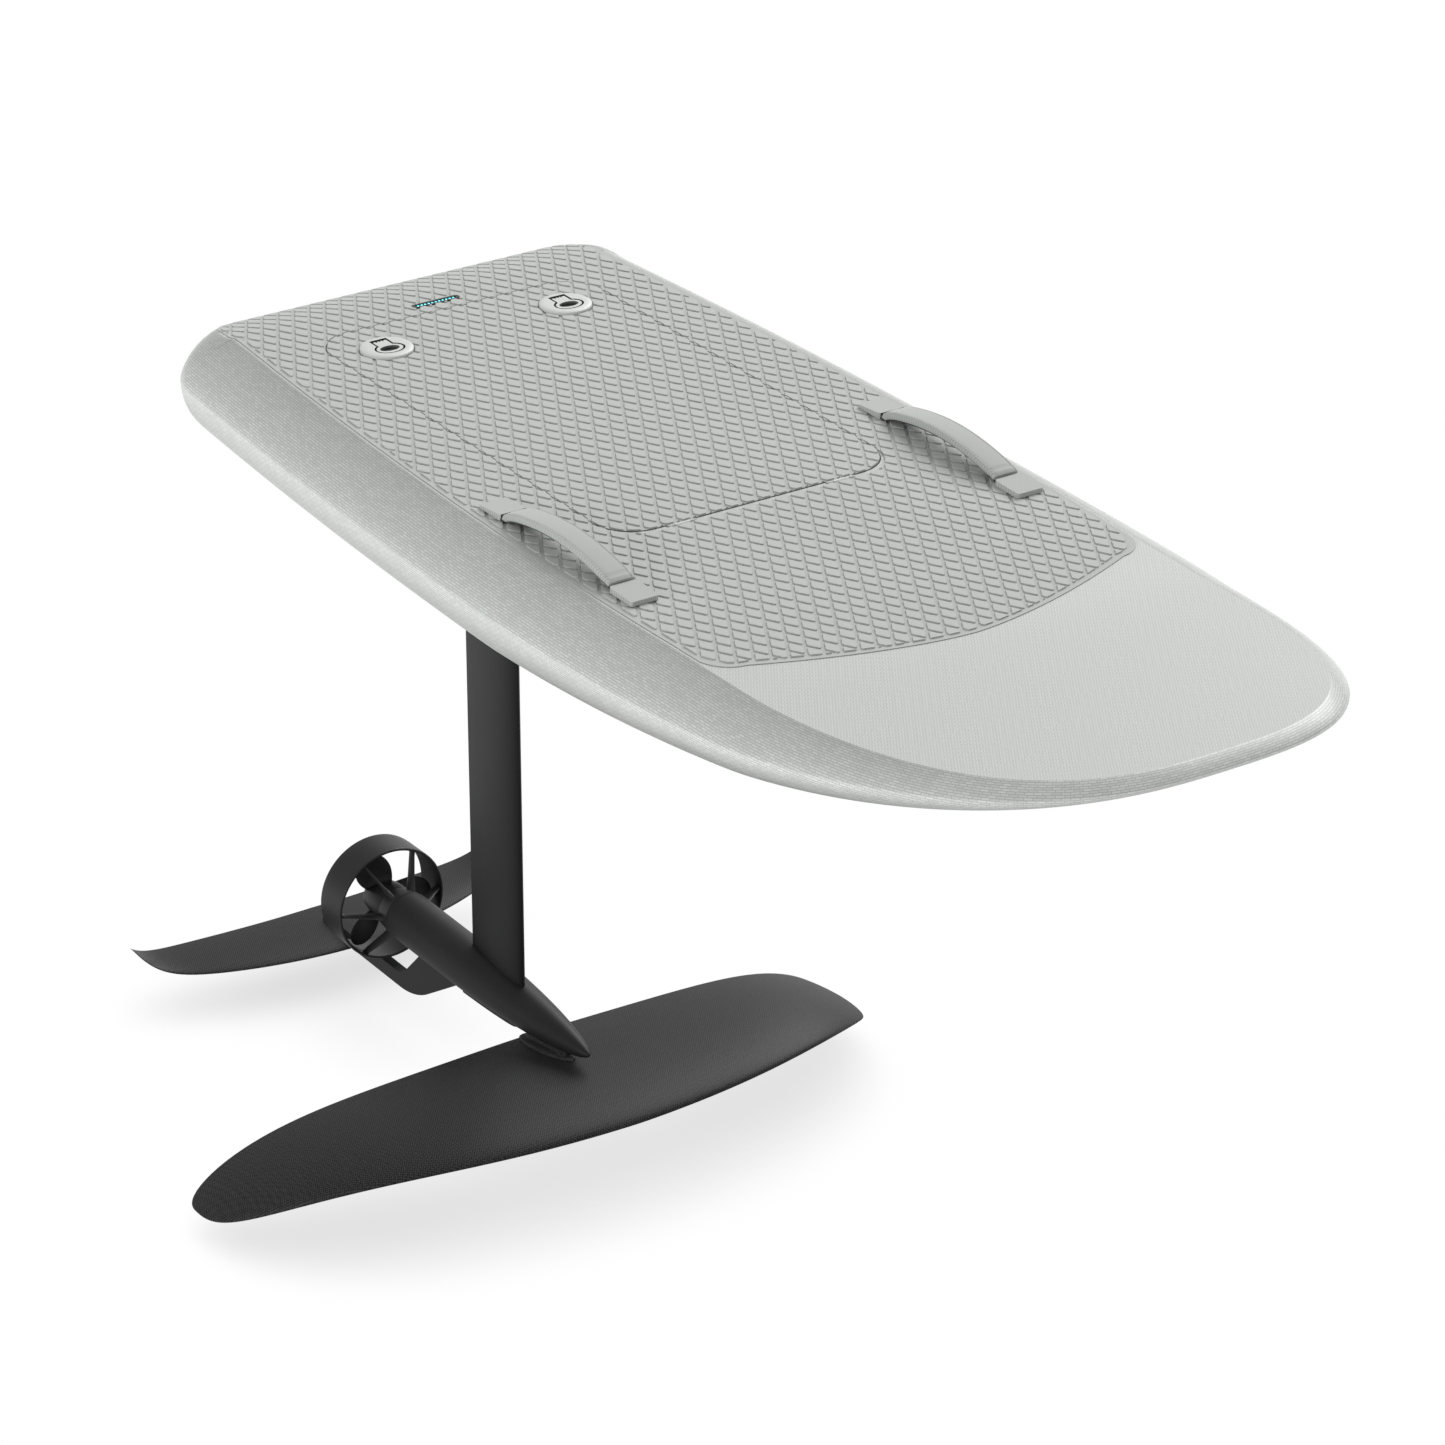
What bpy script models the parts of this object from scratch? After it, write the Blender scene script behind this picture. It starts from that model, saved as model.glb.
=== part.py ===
"""Electric hydrofoil board: hull with battery hatch, mast, ducted motor pod, front wing and stabiliser.

Metres. +X points to the nose, +Y to port, +Z up. The origin lies on the flat bottom of the hull,
under the middle of the battery hatch.
"""

import math

import bmesh
import bpy
from mathutils import Matrix, Vector

# Fits
FIT = 0.0003            # gap between two pieces that touch
RUNNING = 0.0004        # gap round a turning piece
SEAM = 0.0012           # open seam round the hatch

# Hull
TAIL_X = -0.471
BOARD_LENGTH = 1.628
DECK_Z = 0.1255
RAIL_HALF_WIDTH = 0.349
WIDEST_X = 0.355
TAIL_HALF_WIDTH = 0.309
TAIL_TAPER_POWER = 1.88
TAIL_CORNER_RADIUS = 0.080
NOSE_LENGTH_POWER = 2.68
NOSE_WIDTH_POWER = 2.83
SHOULDER_SIDE = 0.0626
SHOULDER_TAIL = 0.0085
SHOULDER_NOSE = 0.018
SHOULDER_FADE_X = 0.56
SHOULDER_POWER = 1.2
SHOULDER_TAIL_POWER = 1.8
SHOULDER_TURN_POWER = 0.8
RAIL_DROP = 0.0505
TAIL_ROLL_GAP = 0.054     # from the hatch's rear edge back to where the deck rolls down
TAIL_ROLL_DROP = 0.0163
TAIL_ROLL_POWER = 1.48
BOTTOM_TUCK = 0.087
BOTTOM_TUCK_NOSE = 0.050
TUCK_POWER = 2.15
NOSE_THICKNESS = 0.0237
NOSE_KICK = 0.0345
NOSE_KICK_POWER = 1.35
NOSE_KICK_START_X = 0.742
ROCKER_START_X = 0.287
ROCKER_POWER = 1.4
SKIN = 0.005
CORNER_STEPS = 6
SIDE_STEPS = 11
NOSE_STEPS = 12
OUTER_STEPS = (5, 5)     # strips over the shoulder and under the rail
INNER_STEPS = (2, 2)

# Deck pad and hatch
PAD_THICKNESS = 0.0025
PAD_TAIL_INSET = 0.0105   # from the tail in to the pad
PAD_FRONT_X = 0.731
PAD_EDGE_INSET = 0.0035
PAD_FRONT_BOW = 0.066
PAD_BOW_POWER = 1.6
PAD_FRONT_CORNER = 0.036
PAD_TAIL_CORNER = 0.030
HATCH_LENGTH = 0.658
HATCH_HALF_WIDTH = 0.184
HATCH_CORNER = 0.050
HINGE_BAND = 0.008       # smooth strip in front of the hatch, where its hinges lie
LID_THICKNESS = 0.013
SEAL_HEIGHT = 0.004
SEAL_WIDTH = 0.008
SEAL_INSET = 0.020

# Battery bay and battery
BAY_REAR_STEP = 0.044    # from the hatch's rear edge in to the bay
BAY_FRONT_STEP = 0.059
BAY_HALF_WIDTH = 0.150
BAY_CORNER = 0.012
BAY_FLOOR_Z = 0.020
LINER_WALL = 0.003
LINER_FLANGE = 0.020
BATTERY_GAP = 0.008      # room round the battery
BATTERY_TOP_Z = 0.088
BATTERY_CORNER = 0.018
BATTERY_EDGE = 0.006
SOCKET_LENGTH = 0.042
SOCKET_HALF_WIDTH = 0.040
SOCKET_HEIGHT = 0.030

# Hatch hinges
HINGE_Y = 0.104
HINGE_HALF_LENGTH = 0.0175
KNUCKLE_RADIUS = 0.0022
KNUCKLE_SPLIT = 0.0105
HINGE_PIN_RADIUS = 0.0011
HINGE_PLATE = 0.002
LEAF_LENGTH = 0.016
BRACKET_DEPTH = 0.011

# Latches
LATCH_INSET = 0.0685     # from the hatch's rear edge in to the latch centres
LATCH_Y = 0.122
KNOB_RADIUS = 0.0315
KNOB_CROWN = 0.0036
KNOB_FLAT_SHARE = 0.72
KNOB_RIM_HEIGHT = 0.0016
STEM_RADIUS = 0.009
HOUSING_RADIUS = 0.014
HOUSING_DEPTH = 0.006
POCKET_GAP = 0.0009
RING_THICKNESS = 0.003
RING_CENTRE = 0.008
RING_HALF_LENGTH = 0.0125
RING_HALF_WIDTH = 0.0165
FINGER_HALF_LENGTH = 0.0058
FINGER_HALF_WIDTH = 0.0108
RING_BAR_X = -0.0155
RING_BAR_HALF_WIDTH = 0.0115
RING_BAR_DEPTH = 0.005
RING_NECK_HALF_WIDTH = 0.0062
RING_NECK_LENGTH = 0.008
CAM_LENGTH = 0.0235
CAM_HALF_WIDTH = 0.006
CAM_THICKNESS = 0.005
STRIKE_REACH = 0.0093
STRIKE_HALF_WIDTH = 0.014
STRIKE_THICKNESS = 0.003

# Light bar
LIGHT_GAP = 0.025        # from the hatch's rear edge back to the light
LIGHT_HALF_LENGTH = 0.032
LIGHT_HALF_WIDTH = 0.0050
LENS_HALF_LENGTH = 0.028
LENS_HALF_WIDTH = 0.0022
LENS_DEPTH = 0.0015
ROUND_END_SHARE = 0.9

# Carry handles
HANDLE_Y = 0.250
HANDLE_REAR_X = 0.181
HANDLE_FRONT_X = 0.487
TAB_LENGTH = 0.044
TAB_HALF_WIDTH = 0.0175
TAB_HEIGHT = 0.0075
TAB_NOSE = 0.008
TAB_CHAMFER = 0.0008
TAB_BEVEL = 0.0018
TAB_WALL_SHARE = 0.6
GRIP_HALF_WIDTH = 0.0160
GRIP_THICKNESS = 0.0085
GRIP_END_GAP = 0.0035
GRIP_END_HEIGHT = 0.0068
ARCH_RISE = 0.015
ARCH_POWER = 0.9
WEBBING_HALF_WIDTH = 0.0130
WEBBING_THICKNESS = 0.0022
ARCH_STEPS = 12

# Mast
MAST_LEADING_X = -0.1815
MAST_CHORD = 0.120
MAST_THICKNESS_RATIO = 0.125
MAST_PLATE_LENGTH = 0.190
MAST_PLATE_WIDTH = 0.100
MAST_PLATE_THICKNESS = 0.010
MAST_PLATE_CORNER = 0.018
BOLT_SPAN_X = 0.152
BOLT_SPAN_Y = 0.066
BOLT_RADIUS = 0.004
BOLT_HEAD_RADIUS = 0.0065
BOLT_HEAD_HEIGHT = 0.005
CABLE_RADIUS = 0.0035
CABLE_BORE_RADIUS = 0.005
CABLE_SET_BACK = 0.040

# Motor pod
POD_AXIS_Z = -0.742
POD_RADIUS = 0.032
POD_NOSE_X = -0.033
POD_TAPER_START_X = -0.330
POD_REAR_X = -0.4605
POD_WALL = 0.0042
POD_TAPER_POWER = 2.0
POD_ROUNDING_POWER = 0.58
MOTOR_CAVITY_FRONT_X = -0.328
BEARING_RADIUS = 0.011
BEARING_WIDTH = 0.007
SHAFT_RADIUS = 0.005
ROTOR_RADIUS = 0.0165
STATOR_BORE_RADIUS = 0.0175
STATOR_LENGTH = 0.088
STATOR_REAR_CLEARANCE = 0.018

# Propeller guard
GUARD_HUB_LENGTH = 0.0255
GUARD_HUB_REAR_RADIUS = 0.0285
GUARD_SPIGOT = 0.008
GUARD_FRONT_X = -0.499
GUARD_LENGTH = 0.050
GUARD_OUTER_RADIUS = 0.0762
GUARD_TAPER = 0.0006
GUARD_WALL = 0.0038
STRUT_COUNT = 6
STRUT_FIRST_ANGLE = math.radians(30)
STRUT_ROOT_CHORD = 0.019
STRUT_TIP_CHORD = 0.012
STRUT_THICKNESS = 0.0038
STRUT_BOSS_RATIO = 1.9
STRUT_TIP_RATIO = 0.8
SEAL_BORE_RADIUS = 0.008

# Propeller
BLADE_COUNT = 3
BLADE_FIRST_ANGLE = math.radians(-20)
BLADE_TIP_GAP = 0.002
BLADE_X = -0.5190
BLADE_PITCH = 0.085
BLADE_CHORD = 0.050
BLADE_ROOT_CHORD = 0.030
BLADE_THICKNESS = 0.0040
BLADE_WIDEN_RATE = 1.5
BLADE_TIP_POWER = 5
BLADE_TIP_SHARE = 0.22
BLADE_THINNING = 0.6
PROP_HUB_RADIUS = 0.0275
PROP_HUB_REAR_RADIUS = 0.0225
PROP_HUB_REAR_X = -0.530
NUT_LENGTH = 0.015

# Front wing
WING_DEPTH = 0.042       # below the pod's axis
WING_HALF_SPAN = 0.467
WING_ROOT_CHORD = 0.267
WING_CHORD_POWER = 1.57
WING_TIP_POWER = 2.86
WING_SWEEP = 0.0927
WING_SWEEP_POWER = 3.28
WING_SWEEP_RATIO = 0.618
WING_TIP_DROP = 0.0909
WING_DROP_POWER = 4.8
WING_INCIDENCE = math.radians(2.0)
WING_THICKNESS_RATIO = 0.095
SADDLE_FRONT_X = -0.045
SADDLE_END_HALF_WIDTH = 0.009
SADDLE_HALF_WIDTH = 0.019
SADDLE_RISE = 0.004
SADDLE_SIDE_SHARE = 0.85
SADDLE_FLAT_SHARE = 0.68
SADDLE_SWELL_POWER = 0.7
TIP_SHARE = 0.9985       # wings end just short of a point
CAMBER_RATIO = 0.018
WING_SCREW_X = (-0.148, -0.108)
SCREW_RADIUS = 0.003
SCREW_HEAD_RADIUS = 0.0052
SCREW_HEAD_HEIGHT = 0.004
WING_SCREW_BITE = 0.012

# Keel panel, tail arm and stabiliser
PANEL_REAR_X = -0.298
PANEL_HALF_WIDTH = 0.0215
PANEL_THICKNESS = 0.0014
PANEL_CORNER = 0.008
ARM_HALF_WIDTH = 0.0065
ARM_EDGE = 0.0025
ARM_FOOT_SHARE = 0.72
ARM_FRONT_SLOPE = math.radians(32.6)
ARM_REAR_SLOPE = math.radians(46.0)
ARM_KNEE_X = -0.475
ARM_KNEE_RADIUS = 0.130
ARM_DEPTH = 0.106        # below the pod's axis
ARM_HEIGHT = 0.020
ARM_ELBOW_X = -0.481
ARM_ELBOW_RADIUS = 0.028
ARM_TAIL_X = -0.668
TONGUE_HEIGHT = 0.010
TONGUE_TIP = 0.003
STAB_LEADING_X = -0.5905
STAB_DEPTH = 0.1005      # below the pod's axis
STAB_HALF_SPAN = 0.2697
STAB_ROOT_CHORD = 0.1206
STAB_CHORD_POWER = 1.42
STAB_TIP_POWER = 3.25
STAB_SWEEP = 0.0488
STAB_SWEEP_POWER = 1.91
STAB_SWEEP_RATIO = 0.417
STAB_TIP_RISE = 0.0253
STAB_RISE_POWER = 13.4
STAB_INCIDENCE = math.radians(-1.0)
STAB_THICKNESS_RATIO = 0.085
STAB_SCREW_X = (-0.625, -0.655)
STAB_SCREW_BITE = 0.006

NOSE_X = TAIL_X + BOARD_LENGTH
PAD_LOW_Z = DECK_Z + FIT
PAD_TOP_Z = DECK_Z + PAD_THICKNESS
PAD_TAIL_X = TAIL_X + PAD_TAIL_INSET
HATCH_REAR_X = -HATCH_LENGTH / 2
HATCH_FRONT_X = HATCH_LENGTH / 2
TAIL_ROLL_X = HATCH_REAR_X - TAIL_ROLL_GAP
HINGE_X = HATCH_FRONT_X + HINGE_BAND - KNUCKLE_RADIUS - FIT
HINGE_Z = PAD_TOP_Z - KNUCKLE_RADIUS
LID_LOW_Z = DECK_Z - LID_THICKNESS
LEDGE_Z = LID_LOW_Z - SEAL_HEIGHT
LATCH_X = HATCH_REAR_X + LATCH_INSET
LIGHT_X = HATCH_REAR_X - LIGHT_GAP
MAST_CENTRE_X = MAST_LEADING_X - MAST_CHORD / 2
CABLE_X = MAST_LEADING_X - CABLE_SET_BACK
BAY_REAR_X = HATCH_REAR_X + BAY_REAR_STEP
BAY_FRONT_X = HATCH_FRONT_X - BAY_FRONT_STEP
BATTERY_REAR_X = CABLE_X + SOCKET_LENGTH * 3 / 4
BATTERY_FRONT_X = BAY_FRONT_X - BATTERY_GAP
BATTERY_HALF_WIDTH = BAY_HALF_WIDTH - BATTERY_GAP
GUARD_HUB_REAR_X = POD_REAR_X - GUARD_HUB_LENGTH
WING_TRAILING_X = MAST_LEADING_X
WING_Z = POD_AXIS_Z - WING_DEPTH
ARM_BOTTOM_Z = POD_AXIS_Z - ARM_DEPTH
ARM_TOP_Z = ARM_BOTTOM_Z + ARM_HEIGHT
STAB_Z = POD_AXIS_Z - STAB_DEPTH
SIDES = (("port", 1), ("starboard", -1))
UP = (0, 0, 1)
PORT = (0, 1, 0)
FORWARD = (1, 0, 0)
POD_AXIS = (0, 0, POD_AXIS_Z)

for old_object in list(bpy.data.objects):
    bpy.data.objects.remove(old_object, do_unlink=True)

parts = bpy.data.collections.new("electric_hydrofoil_board")
cutters = bpy.data.collections.new("cutters")
bpy.context.scene.collection.children.link(parts)
bpy.context.scene.collection.children.link(cutters)


def make_material(name, colour, roughness, metallic=0.0):
    """A Principled material of one colour."""
    material = bpy.data.materials.new(name)
    material.use_nodes = True
    shader = material.node_tree.nodes["Principled BSDF"]
    shader.inputs["Base Color"].default_value = (*colour, 1.0)
    shader.inputs["Roughness"].default_value = roughness
    shader.inputs["Metallic"].default_value = metallic
    return material


SKIN_PAINT = make_material("hull_paint", (0.47, 0.49, 0.47), 0.35)
PAD_FOAM = make_material("pad_foam", (0.45, 0.47, 0.45), 0.75)
LID_SHELL = make_material("lid_shell", (0.20, 0.21, 0.21), 0.5)
SOFT_RUBBER = make_material("seal_rubber", (0.03, 0.03, 0.03), 0.7)
WHITE_PLASTIC = make_material("white_plastic", (0.80, 0.80, 0.80), 0.35)
BLACK_PLASTIC = make_material("black_plastic", (0.02, 0.02, 0.02), 0.4)
LIGHT_LENS = make_material("light_lens", (0.05, 0.55, 0.62), 0.3)
STRAP_CLOTH = make_material("strap_cloth", (0.46, 0.48, 0.46), 0.8)
STEEL = make_material("stainless_steel", (0.55, 0.55, 0.56), 0.3, 1.0)
COPPER = make_material("copper_winding", (0.60, 0.30, 0.14), 0.4, 1.0)
BLACK_METAL = make_material("black_anodised", (0.035, 0.035, 0.036), 0.45, 0.6)
CARBON = make_material("carbon_fibre", (0.05, 0.05, 0.052), 0.4)
BATTERY_SHELL = make_material("battery_shell", (0.10, 0.10, 0.105), 0.5)


def mesh_object(name, mesh, material=None, cutter=False):
    """Link a mesh as a finished piece, or as a hidden cutter."""
    obj = bpy.data.objects.new(name, mesh)
    if cutter:
        cutters.objects.link(obj)
        obj.hide_render = True
        obj.display_type = "WIRE"
    else:
        parts.objects.link(obj)
        mesh.materials.append(material)
    return obj


def finish_bmesh(builder, name, smooth_angle=None):
    """Turn every face outwards and write the bmesh to a new mesh."""
    bmesh.ops.recalc_face_normals(builder, faces=builder.faces)
    mesh = bpy.data.meshes.new(name)
    builder.to_mesh(mesh)
    builder.free()
    if smooth_angle is not None:
        mesh.shade_smooth()
        mesh.set_sharp_from_angle(angle=smooth_angle)
    return mesh


SMOOTH = math.radians(38)


def loft(name, rings, material=None, cutter=False, smooth=SMOOTH):
    """A closed body through rings of equally many points, capped at the first and last ring."""
    builder = bmesh.new()
    rows = []
    for ring in rings:
        rows.append([builder.verts.new(point) for point in ring])
    count = len(rings[0])
    for lower, upper in zip(rows, rows[1:]):
        for i in range(count):
            j = (i + 1) % count
            builder.faces.new((lower[i], lower[j], upper[j], upper[i]))
    builder.faces.new(rows[0])
    builder.faces.new(rows[-1])
    return mesh_object(name, finish_bmesh(builder, name, smooth), material, cutter)


def plate(name, outlines, low, high, material=None, cutter=False):
    """A flat piece from a closed outline, with any further outlines as holes, between two heights."""
    curve = bpy.data.curves.new(name + "_outline", "CURVE")
    curve.dimensions = "2D"
    curve.fill_mode = "BOTH"
    curve.extrude = (high - low) / 2
    for outline in outlines:
        spline = curve.splines.new("POLY")
        spline.points.add(len(outline) - 1)
        for point, (x, y) in zip(spline.points, outline):
            point.co = (x, y, 0.0, 1.0)
        spline.use_cyclic_u = True
    guide = bpy.data.objects.new(name + "_guide", curve)
    guide.location.z = (low + high) / 2
    return curve_to_mesh(guide, name, material, cutter)


def side_plate(name, outline, y_low, y_high, material=None, cutter=False):
    """A flat piece from an outline seen from the side, as (x, z) points, between two distances to port."""
    obj = plate(name, [outline], -y_high, -y_low, material, cutter)
    obj.data.transform(Matrix.Rotation(math.pi / 2, 4, "X"))
    return obj


def curve_to_mesh(guide, name, material=None, cutter=False, smooth=None):
    """Replace a curve object by a welded mesh object in the same place."""
    bpy.context.scene.collection.objects.link(guide)
    bpy.context.view_layer.update()
    graph = bpy.context.evaluated_depsgraph_get()
    mesh = bpy.data.meshes.new_from_object(guide.evaluated_get(graph))
    place = guide.matrix_world.copy()
    bpy.data.objects.remove(guide, do_unlink=True)
    builder = bmesh.new()
    builder.from_mesh(mesh)
    bpy.data.meshes.remove(mesh)
    bmesh.ops.remove_doubles(builder, verts=builder.verts, dist=1e-6)
    builder.transform(place)
    return mesh_object(name, finish_bmesh(builder, name, smooth), material, cutter)


def turned(name, profile, start, direction, material=None, cutter=False, closed=False, steps=32):
    """A revolved piece: profile points are (distance along direction, radius), from the far end back."""
    mesh = bpy.data.meshes.new(name)
    points = [(radius, 0.0, along) for along, radius in profile]
    edges = [(i, i + 1) for i in range(len(points) - 1)]
    if closed:
        edges.append((len(points) - 1, 0))
    mesh.from_pydata(points, edges, [])
    obj = mesh_object(name, mesh, material, cutter)
    facing = Vector(direction).to_track_quat("Z", "Y").to_matrix().to_4x4()
    obj.matrix_world = Matrix.Translation(start) @ facing
    screw = obj.modifiers.new("turn", "SCREW")
    screw.steps = steps
    screw.render_steps = steps
    screw.use_merge_vertices = True
    screw.merge_threshold = 1e-5
    screw.use_smooth_shade = True
    return obj


def rod(name, start, direction, length, radius, material=None, cutter=False, steps=16):
    """A plain round rod or bore cutter."""
    profile = [(length, 0.0), (length, radius), (0.0, radius), (0.0, 0.0)]
    return turned(name, profile, start, direction, material, cutter, steps=steps)


def washer(name, start, direction, length, bore, radius, material, steps=24):
    """A plain ring."""
    profile = [(length, bore), (length, radius), (0.0, radius), (0.0, bore)]
    return turned(name, profile, start, direction, material, closed=True, steps=steps)


def block(name, low, high, material=None, cutter=False):
    """A box between two corners."""
    builder = bmesh.new()
    bmesh.ops.create_cube(builder, size=1.0)
    size = Vector(high) - Vector(low)
    middle = (Vector(high) + Vector(low)) / 2
    bmesh.ops.scale(builder, vec=size, verts=builder.verts)
    bmesh.ops.translate(builder, vec=middle, verts=builder.verts)
    return mesh_object(name, finish_bmesh(builder, name), material, cutter)


def boolean(obj, operation, *others):
    """Cut others from obj, or join them to it."""
    for other in others:
        modifier = obj.modifiers.new(operation.lower() + "_" + other.name, "BOOLEAN")
        modifier.operation = operation
        modifier.solver = "EXACT"
        modifier.object = other


def cut(obj, *others):
    boolean(obj, "DIFFERENCE", *others)


def join(obj, *others):
    boolean(obj, "UNION", *others)


def round_edges(obj, width, segments=2, angle=math.radians(40)):
    bevel = obj.modifiers.new("round_edges", "BEVEL")
    bevel.width = width
    bevel.segments = segments
    bevel.limit_method = "ANGLE"
    bevel.angle_limit = angle


def joint_empty(name, place):
    """An empty on a joint's axis, to carry the pieces that move with it."""
    empty = bpy.data.objects.new(name, None)
    empty.location = place
    empty.empty_display_size = 0.02
    parts.objects.link(empty)
    return empty


def carry(empty, *pieces):
    """Parent pieces to an empty and keep them where they are."""
    bpy.context.view_layer.update()
    for piece in pieces:
        place = piece.matrix_world.copy()
        piece.parent = empty
        piece.matrix_world = place


def arc(centre, radius, first, last, steps):
    """Points on a circular arc, both ends included."""
    return [
        (
            centre[0] + radius * math.cos(first + (last - first) * i / steps),
            centre[1] + radius * math.sin(first + (last - first) * i / steps),
        )
        for i in range(steps + 1)
    ]


def rounded_rectangle(rear, front, half_width, radius, steps=6):
    """Corner-rounded outline, symmetric about the centre line."""
    quarter = math.pi / 2
    corners = (
        ((front - radius, half_width - radius), 0),
        ((rear + radius, half_width - radius), 1),
        ((rear + radius, radius - half_width), 2),
        ((front - radius, radius - half_width), 3),
    )
    points = []
    for centre, turn in corners:
        points += arc(centre, radius, turn * quarter, (turn + 1) * quarter, steps)
    return points


def shifted(points, x=0.0, y=0.0):
    return [(px + x, py + y) for px, py in points]


def ellipse(centre_x, half_length, half_width, steps=28):
    return [
        (
            centre_x + half_length * math.cos(2 * math.pi * i / steps),
            half_width * math.sin(2 * math.pi * i / steps),
        )
        for i in range(steps)
    ]


def at_height(points, z):
    return [(x, y, z) for x, y in points]


def ease(value, first, last):
    """0 before first, 1 after last, smooth between."""
    share = min(max((value - first) / (last - first), 0.0), 1.0)
    return share * share * (3.0 - 2.0 * share)


# Hull outline and surface


def straight_half_width(x):
    """Half width of the hull at its rail, before the tail corner is rounded."""
    if x > WIDEST_X:
        share = min((x - WIDEST_X) / (NOSE_X - WIDEST_X), 1.0)
        return RAIL_HALF_WIDTH * (1.0 - share**NOSE_LENGTH_POWER) ** (1.0 / NOSE_WIDTH_POWER)
    share = (WIDEST_X - x) / (WIDEST_X - TAIL_X)
    return RAIL_HALF_WIDTH - (RAIL_HALF_WIDTH - TAIL_HALF_WIDTH) * share**TAIL_TAPER_POWER


def rail_outline():
    """Port half of the rail line, from the end of the straight tail edge to the nose."""
    points = []
    for i in range(CORNER_STEPS):
        angle = math.pi / 2 * i / CORNER_STEPS
        x = TAIL_X + TAIL_CORNER_RADIUS * (1.0 - math.cos(angle))
        points.append((x, straight_half_width(x) - TAIL_CORNER_RADIUS * (1.0 - math.sin(angle))))
    side_start = max(TAIL_X + TAIL_CORNER_RADIUS, TAIL_ROLL_X)
    side_end = NOSE_KICK_START_X
    for i in range(SIDE_STEPS + 1):
        x = side_start + (side_end - side_start) * i / SIDE_STEPS
        points.append((x, straight_half_width(x)))
    share = (side_end - WIDEST_X) / (NOSE_X - WIDEST_X)
    first = math.asin(share ** (NOSE_LENGTH_POWER / 2))
    for i in range(1, NOSE_STEPS + 1):
        angle = first + (math.pi / 2 - first) * i / NOSE_STEPS
        x = WIDEST_X + (NOSE_X - WIDEST_X) * math.sin(angle) ** (2 / NOSE_LENGTH_POWER)
        points.append((x, straight_half_width(x)))
    points[-1] = (NOSE_X, 0.0)
    return points


def outward_normals(points):
    """Unit normals of the port outline, square to the tail edge and to the nose at its ends."""
    normals = [Vector((-1.0, 0.0))]
    for before, after in zip(points, points[2:]):
        run = Vector(after) - Vector(before)
        normals.append(Vector((-run.y, run.x)).normalized())
    normals.append(Vector((1.0, 0.0)))
    return normals


def deck_height(x):
    share = max((x - NOSE_KICK_START_X) / (NOSE_X - NOSE_KICK_START_X), 0.0)
    return DECK_Z + NOSE_KICK * share**NOSE_KICK_POWER


def tail_drop(x):
    """How far the deck has rolled down at a place near the tail."""
    share = max((TAIL_ROLL_X - x) / (TAIL_ROLL_X - TAIL_X), 0.0)
    return TAIL_ROLL_DROP * share**TAIL_ROLL_POWER


def hull_thickness(x):
    share = max((x - ROCKER_START_X) / (NOSE_X - ROCKER_START_X), 0.0)
    return DECK_Z + (NOSE_THICKNESS - DECK_Z) * share**ROCKER_POWER


def shoulder_width(x, normal):
    """How far the deck edge lies inside the rail line."""
    side_share = max(normal.y, 0.0) ** SHOULDER_TURN_POWER if x < WIDEST_X else 1.0
    width = SHOULDER_TAIL + (SHOULDER_SIDE - SHOULDER_TAIL) * side_share
    return width + (SHOULDER_NOSE - width) * ease(x, SHOULDER_FADE_X, NOSE_X)


def deck_edge(inset=0.0):
    """Port half of the deck's edge line, moved inwards by inset."""
    rail = rail_outline()
    edge = []
    for point, normal in zip(rail, outward_normals(rail)):
        edge.append(Vector(point) - normal * (shoulder_width(point[0], normal) + inset))
    return edge


def hull_section(point, normal, inset, steps):
    """Points from the deck edge over the rail to the edge of the bottom, at one place on the outline."""
    x = point[0]
    rail = Vector(point) - normal * inset
    edge = rail - normal * shoulder_width(x, normal)
    deck = deck_height(x) - tail_drop(edge.x) - inset
    bottom = deck_height(x) - hull_thickness(x) + inset
    rail_z = deck_height(x) - RAIL_DROP * hull_thickness(x) / DECK_Z
    tuck = BOTTOM_TUCK + (BOTTOM_TUCK_NOSE - BOTTOM_TUCK) * ease(x, SHOULDER_FADE_X, NOSE_X)
    keel = rail - normal * tuck
    power = SHOULDER_POWER + (SHOULDER_TAIL_POWER - SHOULDER_POWER) * max(-normal.x, 0.0)
    shoulder_steps, tuck_steps = steps
    section = []
    for i in range(shoulder_steps + 1):
        angle = math.pi / 2 * i / shoulder_steps
        out = math.sin(angle) ** (2 / power)
        up = max(math.cos(angle), 0.0) ** (2 / power)
        plan = edge.lerp(rail, out)
        section.append((plan.x, plan.y, rail_z + (deck - rail_z) * up))
    for i in range(1, tuck_steps + 1):
        angle = math.pi / 2 * i / tuck_steps
        plan = keel.lerp(rail, max(math.cos(angle), 0.0) ** (2 / TUCK_POWER))
        fall = math.sin(angle) ** (2 / TUCK_POWER)
        section.append((plan.x, plan.y, rail_z + (bottom - rail_z) * fall))
    return section


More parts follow.
